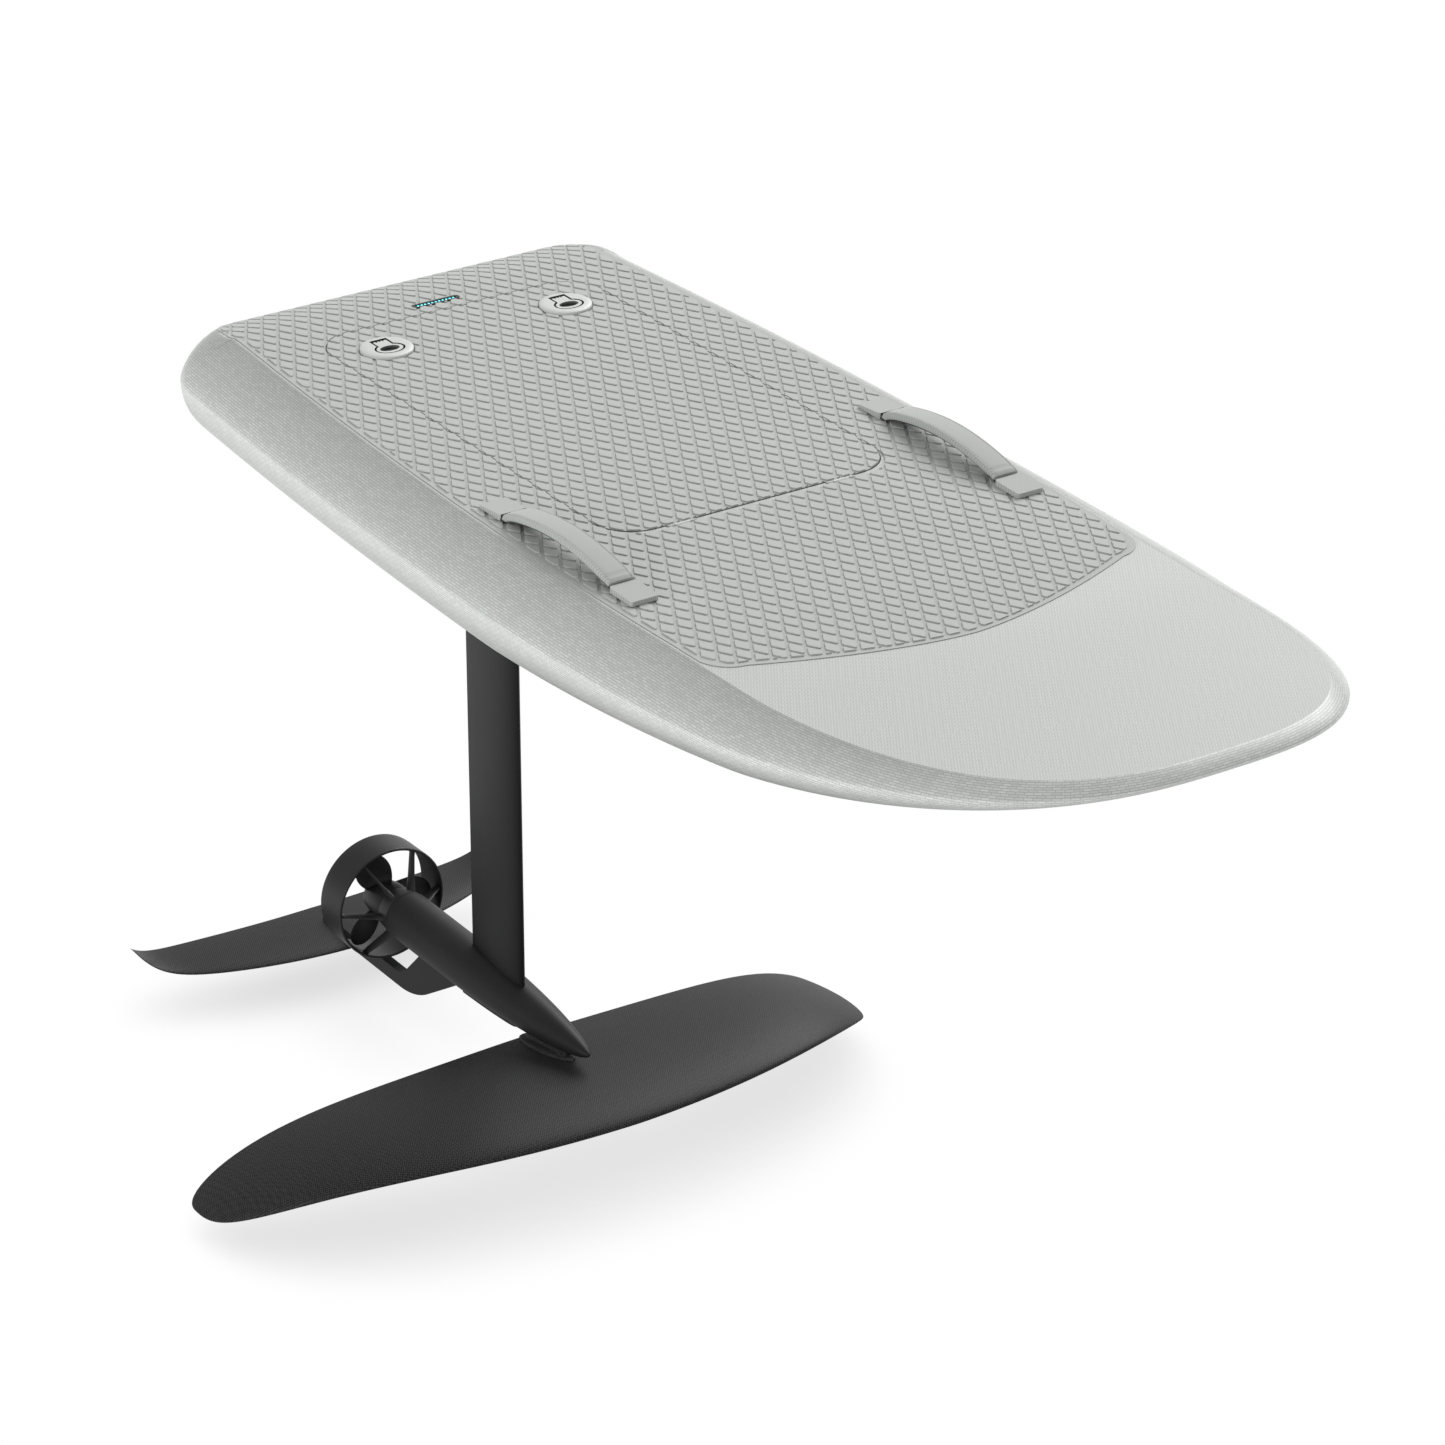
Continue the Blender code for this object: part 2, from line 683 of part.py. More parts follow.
def hull_body(name, inset, steps, material=None, cutter=False):
    """The hull as a closed skin: section strips round the outline, and cross strips for deck and bottom."""
    rail = rail_outline()
    port = [hull_section(point, normal, inset, steps) for point, normal in zip(rail, outward_normals(rail))]
    builder = bmesh.new()
    port_rows = [[builder.verts.new(point) for point in section] for section in port]
    starboard_rows = []
    for section, row in zip(port[:-1], port_rows):
        starboard_rows.append([builder.verts.new((x, -y, z)) for x, y, z in section])
    starboard_rows.append(port_rows[-1])
    for rows in (port_rows, starboard_rows):
        for before, after in zip(rows, rows[1:]):
            for i in range(len(before) - 1):
                builder.faces.new((before[i], before[i + 1], after[i + 1], after[i]))
    for i in range(len(port_rows[0]) - 1):
        tail_port = port_rows[0][i : i + 2]
        tail_starboard = starboard_rows[0][i : i + 2]
        builder.faces.new((*tail_port, *reversed(tail_starboard)))
    for level in (0, -1):
        for i in range(len(port_rows) - 2):
            builder.faces.new(
                (
                    port_rows[i][level],
                    port_rows[i + 1][level],
                    starboard_rows[i + 1][level],
                    starboard_rows[i][level],
                )
            )
        builder.faces.new((port_rows[-2][level], port_rows[-1][level], starboard_rows[-2][level]))
    return mesh_object(name, finish_bmesh(builder, name, math.radians(24)), material, cutter)


def hatch_outline(grow=0.0, front_grow=None):
    """Outline of the hatch, grown by grow, with more at the hinged front if front_grow is given."""
    front = HATCH_FRONT_X + (grow if front_grow is None else front_grow)
    return rounded_rectangle(HATCH_REAR_X - grow, front, HATCH_HALF_WIDTH + grow, HATCH_CORNER + grow)


def bay_outline(grow=0.0):
    return rounded_rectangle(BAY_REAR_X - grow, BAY_FRONT_X + grow, BAY_HALF_WIDTH + grow, BAY_CORNER + grow)


def make_hull():
    hull = hull_body("board_hull", 0.0, OUTER_STEPS, SKIN_PAINT)
    hollow = hull_body("hull_hollow", SKIN, INNER_STEPS, cutter=True)
    low = DECK_Z - 2 * SKIN
    high = DECK_Z + SKIN
    opening = plate("hatch_opening", [hatch_outline(SEAM)], low, high, cutter=True)
    cut(hull, hollow, opening)
    reach = HINGE_HALF_LENGTH + SEAM
    for side, sign in SIDES:
        middle = sign * HINGE_Y
        pocket = block(
            f"hinge_pocket_{side}",
            (HATCH_FRONT_X, middle - reach, low),
            (HATCH_FRONT_X + HINGE_BAND, middle + reach, high),
            cutter=True,
        )
        cut(hull, pocket)
    cut(hull, *bolt_holes("hull", -SKIN, 3 * SKIN))
    cut(hull, rod("hull_cable_hole", (CABLE_X, 0, -SKIN), UP, 3 * SKIN, CABLE_BORE_RADIUS, cutter=True))


def pad_outline():
    """Outline of the deck pad: along the deck edge, square at the tail, with a bowed front."""
    side = [p for p in deck_edge(PAD_EDGE_INSET) if p.y > 0]
    half_width = {}
    for p in side:
        half_width[p.x] = p.y
    stations = sorted(half_width)

    def edge_y(x):
        for before, after in zip(stations, stations[1:]):
            if before <= x <= after:
                share = (x - before) / (after - before)
                return half_width[before] + (half_width[after] - half_width[before]) * share
        return half_width[stations[0]]

    def bow_x(y):
        return PAD_FRONT_X - PAD_FRONT_BOW * (abs(y) / corner_y) ** PAD_BOW_POWER

    corner_y = edge_y(PAD_FRONT_X - PAD_FRONT_BOW - PAD_FRONT_CORNER) - PAD_FRONT_CORNER
    port = []
    bow_steps = 10
    for i in range(bow_steps + 1):
        y = corner_y * i / bow_steps
        port.append((bow_x(y), y))
    slope = math.atan(PAD_FRONT_BOW * PAD_BOW_POWER / corner_y)
    centre = (
        bow_x(corner_y) - PAD_FRONT_CORNER * math.cos(slope),
        corner_y - PAD_FRONT_CORNER * math.sin(slope),
    )
    reach = edge_y(centre[0]) - centre[1]
    for i in range(1, 6):
        angle = slope + (math.pi / 2 - slope) * i / 5
        radius = PAD_FRONT_CORNER + (reach - PAD_FRONT_CORNER) * i / 5
        port.append((centre[0] + radius * math.cos(angle), centre[1] + radius * math.sin(angle)))
    tail_start = PAD_TAIL_X + PAD_TAIL_CORNER
    for x in reversed(stations):
        if tail_start + PAD_TAIL_CORNER < x < centre[0] - PAD_TAIL_CORNER:
            port.append((x, half_width[x]))
    tail_y = edge_y(tail_start)
    port += arc((tail_start, tail_y - PAD_TAIL_CORNER), PAD_TAIL_CORNER, math.pi / 2, math.pi, 5)
    starboard = [(x, -y) for x, y in reversed(port) if y > 0]
    return port + starboard


def light_slot(half_length, half_width):
    """A long slot across the board at the light, with nearly round ends."""
    slot = rounded_rectangle(-half_width, half_width, half_length, half_width * ROUND_END_SHARE, 4)
    return shifted(slot, LIGHT_X)


def light_outline(grow=0.0):
    return light_slot(LIGHT_HALF_LENGTH + grow, LIGHT_HALF_WIDTH + grow)


def tail_line():
    """The rolled deck from the side, as (x, drop) points where the hull bends, ending on the flat deck."""
    line = []
    for point in deck_edge():
        line.append((point.x, tail_drop(point.x)))
        if point.x > TAIL_ROLL_X:
            break
    return line


def make_deck():
    """The deck pad, bent down over the tail, and the light let into it."""
    front_x = PAD_FRONT_X + SKIN
    underside = [(x, PAD_LOW_Z - drop) for x, drop in tail_line()] + [(front_x, PAD_LOW_Z)]
    top = [(x, PAD_TOP_Z - drop) for x, drop in tail_line()] + [(front_x, PAD_TOP_Z)]
    pad = side_plate("deck_pad", underside + top[::-1], -RAIL_HALF_WIDTH, RAIL_HALF_WIDTH, PAD_FOAM)
    shapes = [pad_outline(), hatch_outline(SEAM, HINGE_BAND), light_outline(FIT)]
    boolean(pad, "INTERSECT", plate("pad_shape", shapes, 0.0, 2 * DECK_Z, cutter=True))
    housing = plate("light_housing", [light_outline()], PAD_LOW_Z, PAD_TOP_Z, BLACK_PLASTIC)
    lens_low = PAD_TOP_Z - LENS_DEPTH
    slot_shape = light_slot(LENS_HALF_LENGTH + FIT, LENS_HALF_WIDTH + FIT)
    cut(housing, plate("light_slot", [slot_shape], lens_low - FIT, PAD_TOP_Z + SKIN, cutter=True))
    lens_shape = light_slot(LENS_HALF_LENGTH, LENS_HALF_WIDTH)
    plate("light_lens", [lens_shape], lens_low, PAD_TOP_Z - LENS_DEPTH / 3, LIGHT_LENS)


def make_bay():
    flange_top = DECK_Z - SKIN - FIT
    flange_low = flange_top - LINER_WALL
    floor_low = BAY_FLOOR_Z - LINER_WALL
    ledge_low = LEDGE_Z - LINER_WALL
    levels = (
        (bay_outline(LINER_WALL), floor_low),
        (bay_outline(LINER_WALL), ledge_low),
        (hatch_outline(SEAM + LINER_WALL, HINGE_BAND + LINER_WALL), ledge_low),
        (hatch_outline(SEAM + LINER_WALL, HINGE_BAND + LINER_WALL), flange_low),
        (hatch_outline(LINER_FLANGE, HINGE_BAND + LINER_FLANGE), flange_low),
        (hatch_outline(LINER_FLANGE, HINGE_BAND + LINER_FLANGE), flange_top),
        (hatch_outline(SEAM, HINGE_BAND), flange_top),
        (hatch_outline(SEAM, HINGE_BAND), LEDGE_Z),
        (bay_outline(), LEDGE_Z),
        (bay_outline(), BAY_FLOOR_Z),
    )
    liner = loft("bay_liner", [at_height(outline, z) for outline, z in levels], LID_SHELL, smooth=None)
    hole_low = (CABLE_X, 0, floor_low - SKIN)
    cut(liner, rod("liner_cable_hole", hole_low, UP, LINER_WALL + 2 * SKIN, CABLE_BORE_RADIUS, cutter=True))
    plate(
        "hatch_seal",
        [hatch_outline(-SEAL_INSET), hatch_outline(-SEAL_INSET - SEAL_WIDTH)],
        LEDGE_Z + FIT,
        LID_LOW_Z - FIT,
        SOFT_RUBBER,
    )
    insert = plate("mast_insert", [mast_plate_outline()], SKIN + FIT, floor_low - FIT, BLACK_METAL)
    cut(insert, *bolt_holes("insert", 0.0, BAY_FLOOR_Z))
    cut(insert, rod("insert_cable_hole", (CABLE_X, 0, 0), UP, BAY_FLOOR_Z, CABLE_BORE_RADIUS, cutter=True))


def make_battery():
    low = BAY_FLOOR_Z + FIT

    def outline(shrink):
        return rounded_rectangle(
            BATTERY_REAR_X + shrink,
            BATTERY_FRONT_X - shrink,
            BATTERY_HALF_WIDTH - shrink,
            BATTERY_CORNER - shrink,
        )

    levels = (
        (BATTERY_EDGE, low),
        (0.0, low + BATTERY_EDGE),
        (0.0, BATTERY_TOP_Z - BATTERY_EDGE),
        (BATTERY_EDGE, BATTERY_TOP_Z),
    )
    loft("battery_case", [at_height(outline(shrink), z) for shrink, z in levels], BATTERY_SHELL)
    socket_front = BATTERY_REAR_X - FIT
    socket = block(
        "power_socket",
        (socket_front - SOCKET_LENGTH, -SOCKET_HALF_WIDTH, low),
        (socket_front, SOCKET_HALF_WIDTH, low + SOCKET_HEIGHT),
        BLACK_PLASTIC,
    )
    round_edges(socket, BATTERY_EDGE / 2)
    cable_top = low + SOCKET_HEIGHT / 2
    hole_depth = cable_top + FIT
    cut(socket, rod("socket_cable_hole", (CABLE_X, 0, 0), UP, hole_depth, CABLE_RADIUS + FIT, cutter=True))


def path_normals(path):
    """Upward unit normals along (x, z) points that run forwards."""
    normals = []
    for i in range(len(path)):
        before = Vector(path[max(i - 1, 0)])
        after = Vector(path[min(i + 1, len(path) - 1)])
        run = (after - before).normalized()
        normals.append(Vector((-run.y, run.x)))
    return normals


def strap(name, path, y, half_width, thickness, material):
    """A flat strap along (x, z) points, with softened edges."""
    rings = []
    edge = thickness * 0.3
    shape = (
        (-half_width, -thickness / 2 + edge),
        (-half_width + edge, -thickness / 2),
        (half_width - edge, -thickness / 2),
        (half_width, -thickness / 2 + edge),
        (half_width, thickness / 2 - edge),
        (half_width - edge, thickness / 2),
        (-half_width + edge, thickness / 2),
        (-half_width, thickness / 2 - edge),
    )
    for (x, z), normal in zip(path, path_normals(path)):
        rings.append([(x + normal.x * up, y + side, z + normal.y * up) for side, up in shape])
    return loft(name, rings, material)


def make_handles():
    seat = PAD_TOP_Z + FIT
    rear_end = HANDLE_REAR_X + TAB_LENGTH
    front_end = HANDLE_FRONT_X - TAB_LENGTH
    for side, sign in SIDES:
        y = sign * HANDLE_Y
        for where, x_low, x_high in (
            ("rear", HANDLE_REAR_X, rear_end),
            ("front", front_end, HANDLE_FRONT_X),
        ):
            levels = ((0.0, 0.0), (0.0, TAB_HEIGHT * TAB_WALL_SHARE), (TAB_BEVEL, TAB_HEIGHT))
            rings = []
            for shrink, height in levels:
                shape = tab_outline(x_low, x_high, where, shrink)
                rings.append(at_height(shifted(shape, 0.0, y), seat + height))
            loft(f"handle_{where}_tab_{side}", rings, STRAP_CLOTH, smooth=math.radians(20))
        grip_path = []
        for i in range(ARCH_STEPS + 1):
            share = i / ARCH_STEPS
            x = rear_end + GRIP_END_GAP + (front_end - rear_end - 2 * GRIP_END_GAP) * share
            rise = ARCH_RISE * math.sin(math.pi * share) ** ARCH_POWER
            grip_path.append((x, seat + GRIP_END_HEIGHT + rise))
        below = GRIP_THICKNESS / 2 + WEBBING_THICKNESS / 2 + FIT
        webbing_path = []
        for (x, z), normal in zip(grip_path, path_normals(grip_path)):
            webbing_path.append((x - normal.x * below, z - normal.y * below))
        strap(f"handle_grip_{side}", grip_path, y, GRIP_HALF_WIDTH, GRIP_THICKNESS, STRAP_CLOTH)
        strap(f"handle_webbing_{side}", webbing_path, y, WEBBING_HALF_WIDTH, WEBBING_THICKNESS, STRAP_CLOTH)


def tab_outline(x_low, x_high, where, shrink):
    """A tab square towards the grip and pointed with a blunt nose away from it."""
    half = TAB_HALF_WIDTH - shrink
    low = x_low + shrink
    high = x_high - shrink
    nose_low = TAB_NOSE if where == "rear" else TAB_CHAMFER
    nose_high = TAB_NOSE if where == "front" else TAB_CHAMFER
    return [
        (low, -half + nose_low),
        (low + nose_low, -half),
        (high - nose_high, -half),
        (high, -half + nose_high),
        (high, half - nose_high),
        (high - nose_high, half),
        (low + nose_low, half),
        (low, half - nose_low),
    ]


# Hatch with its hinges and latches


def latch_places():
    return [(side, sign, LATCH_X, sign * LATCH_Y) for side, sign in SIDES]


def make_hatch():
    lid = plate("hatch_lid", [hatch_outline()], LID_LOW_Z, DECK_Z, LID_SHELL)
    hole_radius = KNOB_RADIUS + FIT
    holes = [shifted(ellipse(0.0, hole_radius, hole_radius, 32), x, y) for _, _, x, y in latch_places()]
    pad = plate("hatch_pad", [hatch_outline(), *holes], PAD_LOW_Z, PAD_TOP_Z, PAD_FOAM)
    for side, _, x, y in latch_places():
        low = (x, y, LID_LOW_Z - SKIN)
        length = LID_THICKNESS + 2 * SKIN
        cut(lid, rod(f"lid_latch_hole_{side}", low, UP, length, HOUSING_RADIUS + FIT, cutter=True, steps=20))
    hinge = joint_empty("hatch_hinge", (HINGE_X, 0, HINGE_Z))
    leaves = [make_hinge(side, sign) for side, sign in SIDES]
    housings = [make_latch(side, sign, x, y, hinge) for side, sign, x, y in latch_places()]
    carry(hinge, lid, pad, *leaves, *housings)


def knuckle(name, y_low, y_high, material=None, cutter=False):
    return rod(name, (HINGE_X, y_low, HINGE_Z), PORT, y_high - y_low, KNUCKLE_RADIUS, material, cutter)


def make_hinge(side, sign):
    """One hinge: a bracket on the bay's front wall, a leaf on the lid, and the pin through both."""
    middle = sign * HINGE_Y
    near, far = middle - KNUCKLE_SPLIT, middle + KNUCKLE_SPLIT
    first, last = middle - HINGE_HALF_LENGTH, middle + HINGE_HALF_LENGTH
    wall_x = HATCH_FRONT_X + HINGE_BAND - FIT
    bracket = knuckle(f"hinge_bracket_{side}", near + RUNNING, far - RUNNING, WHITE_PLASTIC)
    web = block(
        f"bracket_web_{side}",
        (wall_x - HINGE_PLATE, near + RUNNING, HINGE_Z - BRACKET_DEPTH),
        (wall_x, far - RUNNING, HINGE_Z),
        cutter=True,
    )
    join(bracket, web)
    leaf_x = HATCH_FRONT_X + FIT
    foot_z = LID_LOW_Z - FIT
    bridge_low = HINGE_Z - HINGE_PIN_RADIUS - RUNNING
    bridge_top = HINGE_Z + RUNNING
    leaf_outline = [
        (leaf_x - LEAF_LENGTH, foot_z),
        (leaf_x - LEAF_LENGTH, foot_z - HINGE_PLATE),
        (leaf_x + HINGE_PLATE, foot_z - HINGE_PLATE),
        (leaf_x + HINGE_PLATE, bridge_low),
        (HINGE_X - RUNNING, bridge_low),
        (HINGE_X - RUNNING, bridge_top),
        (leaf_x, bridge_top),
        (leaf_x, foot_z),
    ]
    leaf = side_plate(f"hinge_leaf_{side}", leaf_outline, first + RUNNING, last - RUNNING, WHITE_PLASTIC)
    join(
        leaf,
        knuckle(f"leaf_knuckle_near_{side}", first, near, cutter=True),
        knuckle(f"leaf_knuckle_far_{side}", far, last, cutter=True),
    )
    gap_start = (HINGE_X, near - FIT, HINGE_Z)
    gap_length = far - near + 2 * FIT
    cut(leaf, rod(f"leaf_gap_{side}", gap_start, PORT, gap_length, KNUCKLE_RADIUS + RUNNING, cutter=True))
    bore_start = (HINGE_X, first - HINGE_HALF_LENGTH, HINGE_Z)
    bore_length = 4 * HINGE_HALF_LENGTH
    bore_radius = HINGE_PIN_RADIUS + RUNNING / 2
    bore = rod(f"hinge_bore_{side}", bore_start, PORT, bore_length, bore_radius, cutter=True)
    cut(bracket, bore)
    cut(leaf, bore)
    rod(f"hinge_pin_{side}", (HINGE_X, first, HINGE_Z), PORT, last - first, HINGE_PIN_RADIUS, STEEL)
    return leaf


def ring_outline(grow):
    """Outline of the lift ring seen from above: cross bar, neck and oval, about the latch centre."""
    bar_rear = RING_BAR_X - RING_BAR_DEPTH / 2 - grow
    bar_front = RING_BAR_X + RING_BAR_DEPTH / 2 + grow
    bar = RING_BAR_HALF_WIDTH + grow
    neck = RING_NECK_HALF_WIDTH + grow
    half_length = RING_HALF_LENGTH + grow
    half_width = RING_HALF_WIDTH + grow
    start = math.pi - math.asin(neck / half_width)
    steps = 22
    oval = [
        (
            RING_CENTRE + half_length * math.cos(start - 2 * start * i / steps),
            half_width * math.sin(start - 2 * start * i / steps),
        )
        for i in range(steps + 1)
    ]
    port_side = [(bar_rear, bar), (bar_front, bar), (bar_front, neck)]
    starboard_side = [(x, -y) for x, y in reversed(port_side)]
    return [*starboard_side, *port_side, *oval]


def make_latch(side, sign, x, y, hinge):
    """A latch: housing in the lid, turning knob with cam, lift ring, and the strike on the bay wall."""
    seat = DECK_Z + FIT
    rim_z = PAD_TOP_Z + KNOB_RIM_HEIGHT
    crown_z = PAD_TOP_Z + KNOB_CROWN
    axis_z = crown_z - RING_THICKNESS / 2 - FIT
    bar_reach = math.hypot(RING_BAR_DEPTH, RING_THICKNESS) / 2
    pocket_z = axis_z - bar_reach - FIT
    stem_low = LID_LOW_Z - HOUSING_DEPTH
    knob_profile = [(crown_z - stem_low, 0.0)]
    dome_steps = 4
    for i in range(dome_steps + 1):
        angle = math.pi / 2 * i / dome_steps
        radius = KNOB_RADIUS * (KNOB_FLAT_SHARE + (1.0 - KNOB_FLAT_SHARE) * math.sin(angle))
        knob_profile.append((rim_z - stem_low + (crown_z - rim_z) * math.cos(angle), radius))
    knob_profile += [
        (seat - stem_low, KNOB_RADIUS),
        (seat - stem_low, STEM_RADIUS),
        (0.0, STEM_RADIUS),
        (0.0, 0.0),
    ]
    knob = turned(f"latch_knob_{side}", knob_profile, (x, y, stem_low), UP, WHITE_PLASTIC)
    pocket_shape = shifted(ring_outline(POCKET_GAP), x, y)
    cut(knob, plate(f"knob_pocket_{side}", [pocket_shape], pocket_z, crown_z + SKIN, cutter=True))
    housing = turned(
        f"latch_housing_{side}",
        [
            (DECK_Z - LID_LOW_Z + HOUSING_DEPTH, STEM_RADIUS + RUNNING),
            (DECK_Z - LID_LOW_Z + HOUSING_DEPTH, HOUSING_RADIUS),
            (FIT, HOUSING_RADIUS),
            (FIT, STEM_RADIUS + RUNNING),
        ],
        (x, y, stem_low),
        UP,
        BLACK_PLASTIC,
        closed=True,
        steps=20,
    )
    cam_shape = [
        (-CAM_HALF_WIDTH, -CAM_HALF_WIDTH),
        (CAM_HALF_WIDTH, -CAM_HALF_WIDTH),
        *arc((0.0, CAM_LENGTH - CAM_HALF_WIDTH), CAM_HALF_WIDTH, 0.0, math.pi, 8),
    ]
    cam_outline = shifted([(px, -sign * py) for px, py in cam_shape], x, y)
    cam_top = stem_low - FIT
    cam = plate(f"latch_cam_{side}", [cam_outline], cam_top - CAM_THICKNESS, cam_top, STEEL)
    ring = plate(
        f"lift_ring_{side}",
        [
            shifted(ring_outline(0.0), x, y),
            shifted(ellipse(RING_CENTRE, FINGER_HALF_LENGTH, FINGER_HALF_WIDTH), x, y),
        ],
        axis_z - RING_THICKNESS / 2,
        axis_z + RING_THICKNESS / 2,
        WHITE_PLASTIC,
    )
    strike_z = cam_top + FIT + RUNNING
    strike = block(
        f"latch_strike_{side}",
        (BAY_REAR_X + FIT, y - STRIKE_HALF_WIDTH, strike_z),
        (BAY_REAR_X + FIT + STRIKE_REACH, y + STRIKE_HALF_WIDTH, strike_z + STRIKE_THICKNESS),
        STEEL,
    )
    round_edges(strike, STRIKE_THICKNESS / 5, 1)
    turn = joint_empty(f"latch_turn_{side}", (x, y, axis_z))
    lift = joint_empty(f"ring_lift_{side}", (x + RING_BAR_X, y, axis_z))
    carry(turn, knob, cam, lift)
    carry(lift, ring)
    carry(hinge, turn)
    return housing


# Mast


def mast_plate_outline():
    half = MAST_PLATE_LENGTH / 2
    rear = MAST_CENTRE_X - half
    front = MAST_CENTRE_X + half
    return rounded_rectangle(rear, front, MAST_PLATE_WIDTH / 2, MAST_PLATE_CORNER)


def bolt_places():
    return [
        (MAST_CENTRE_X + along * BOLT_SPAN_X / 2, across * BOLT_SPAN_Y / 2)
        for along in (-1, 1)
        for across in (-1, 1)
    ]


def bolt_holes(owner, low, length):
    """Cutters for the mast bolts' clearance holes."""
    holes = []
    for i, (x, y) in enumerate(bolt_places()):
        name = f"{owner}_bolt_hole_{i + 1}"
        holes.append(rod(name, (x, y, low), UP, length, BOLT_RADIUS + FIT, cutter=True, steps=12))
    return holes


def section_thickness(share, ratio):
    """Half thickness of a symmetric foil section at a share of its chord, as a share of the chord."""
    return 5 * ratio * (
        0.2969 * math.sqrt(share) - 0.126 * share - 0.3516 * share**2 + 0.2843 * share**3 - 0.1015 * share**4
    )


def foil_outline(leading_x, chord, ratio, grow=0.0, steps=12):
    """Symmetric foil outline seen from above, blunt at its trailing edge."""
    upper = []
    for i in range(steps + 1):
        share = (1.0 - math.cos(math.pi * i / steps)) / 2
        half = chord * section_thickness(share, ratio) + grow
        reach = grow * (1.0 - 2.0 * share)
        upper.append((leading_x - chord * share + reach, half if 0 < i else grow / 2))
    lower = [(px, -py) for px, py in reversed(upper)]
    if upper[0][1] == 0.0:
        lower.pop()
    return upper + lower


def pod_cutter(name, gap):
    """The pod's outer form grown by a gap, to seat a neighbour against it."""
    return turned(name, pod_profile(gap), POD_AXIS, FORWARD, cutter=True)


def make_mast():
    plate_top = -FIT
    plate_low = plate_top - MAST_PLATE_THICKNESS
    base = plate("mast_plate", [mast_plate_outline()], plate_low, plate_top, BLACK_METAL)
    socket = plate(
        "mast_plate_socket",
        [foil_outline(MAST_LEADING_X, MAST_CHORD, MAST_THICKNESS_RATIO, FIT)],
        plate_low - SKIN,
        plate_top - MAST_PLATE_THICKNESS / 3,
        cutter=True,
    )
    through = 2 * MAST_PLATE_THICKNESS
    passage = rod("plate_cable_hole", (CABLE_X, 0, plate_low), UP, through, CABLE_BORE_RADIUS, cutter=True)
    cut(base, socket, passage, *bolt_holes("plate", plate_low - SKIN, through))
    bolt_top = BAY_FLOOR_Z - LINER_WALL - 2 * FIT
    head_low = plate_low - FIT - BOLT_HEAD_HEIGHT
    for i, (x, y) in enumerate(bolt_places()):
        bolt_profile = [
            (bolt_top - head_low, 0.0),
            (bolt_top - head_low, BOLT_RADIUS),
            (BOLT_HEAD_HEIGHT, BOLT_RADIUS),
            (BOLT_HEAD_HEIGHT, BOLT_HEAD_RADIUS),
            (0.0, BOLT_HEAD_RADIUS),
            (0.0, 0.0),
        ]
        turned(f"mast_bolt_{i + 1}", bolt_profile, (x, y, head_low), UP, STEEL, steps=12)
    mast = plate(
        "mast",
        [foil_outline(MAST_LEADING_X, MAST_CHORD, MAST_THICKNESS_RATIO, steps=14)],
        POD_AXIS_Z,
        plate_top - MAST_PLATE_THICKNESS / 3 - FIT,
        BLACK_METAL,
    )
    mast.data.shade_smooth()
    mast.data.set_sharp_from_angle(angle=SMOOTH)
    channel_low = (CABLE_X, 0, POD_AXIS_Z - SKIN)
    channel_length = 2 * SKIN - POD_AXIS_Z
    channel = rod("mast_cable_channel", channel_low, UP, channel_length, CABLE_BORE_RADIUS, cutter=True)
    cut(mast, pod_cutter("mast_pod_seat", FIT), channel)
    cable_low = POD_AXIS_Z + POD_RADIUS - POD_WALL
    cable_top = BAY_FLOOR_Z + SOCKET_HEIGHT / 2
    rod("mast_cable", (CABLE_X, 0, cable_low), UP, cable_top - cable_low, CABLE_RADIUS, SOFT_RUBBER)


# Motor pod


def pod_profile(gap=0.0):
    """Outer form of the pod as (x, radius), from the nose back to its square rear end, grown by a gap."""
    steps = 13
    length = POD_NOSE_X - POD_TAPER_START_X
    profile = [(POD_NOSE_X + gap, 0.0)]
    for i in range(steps - 1, -1, -1):
        share = math.sin(math.pi / 2 * i / steps)
        radius = POD_RADIUS * (1.0 - share**POD_TAPER_POWER) ** POD_ROUNDING_POWER
        profile.append((POD_TAPER_START_X + length * share + gap * share, radius + gap))
    profile.append((POD_REAR_X - gap, POD_RADIUS + gap))
    profile.append((POD_REAR_X - gap, 0.0))
    return profile


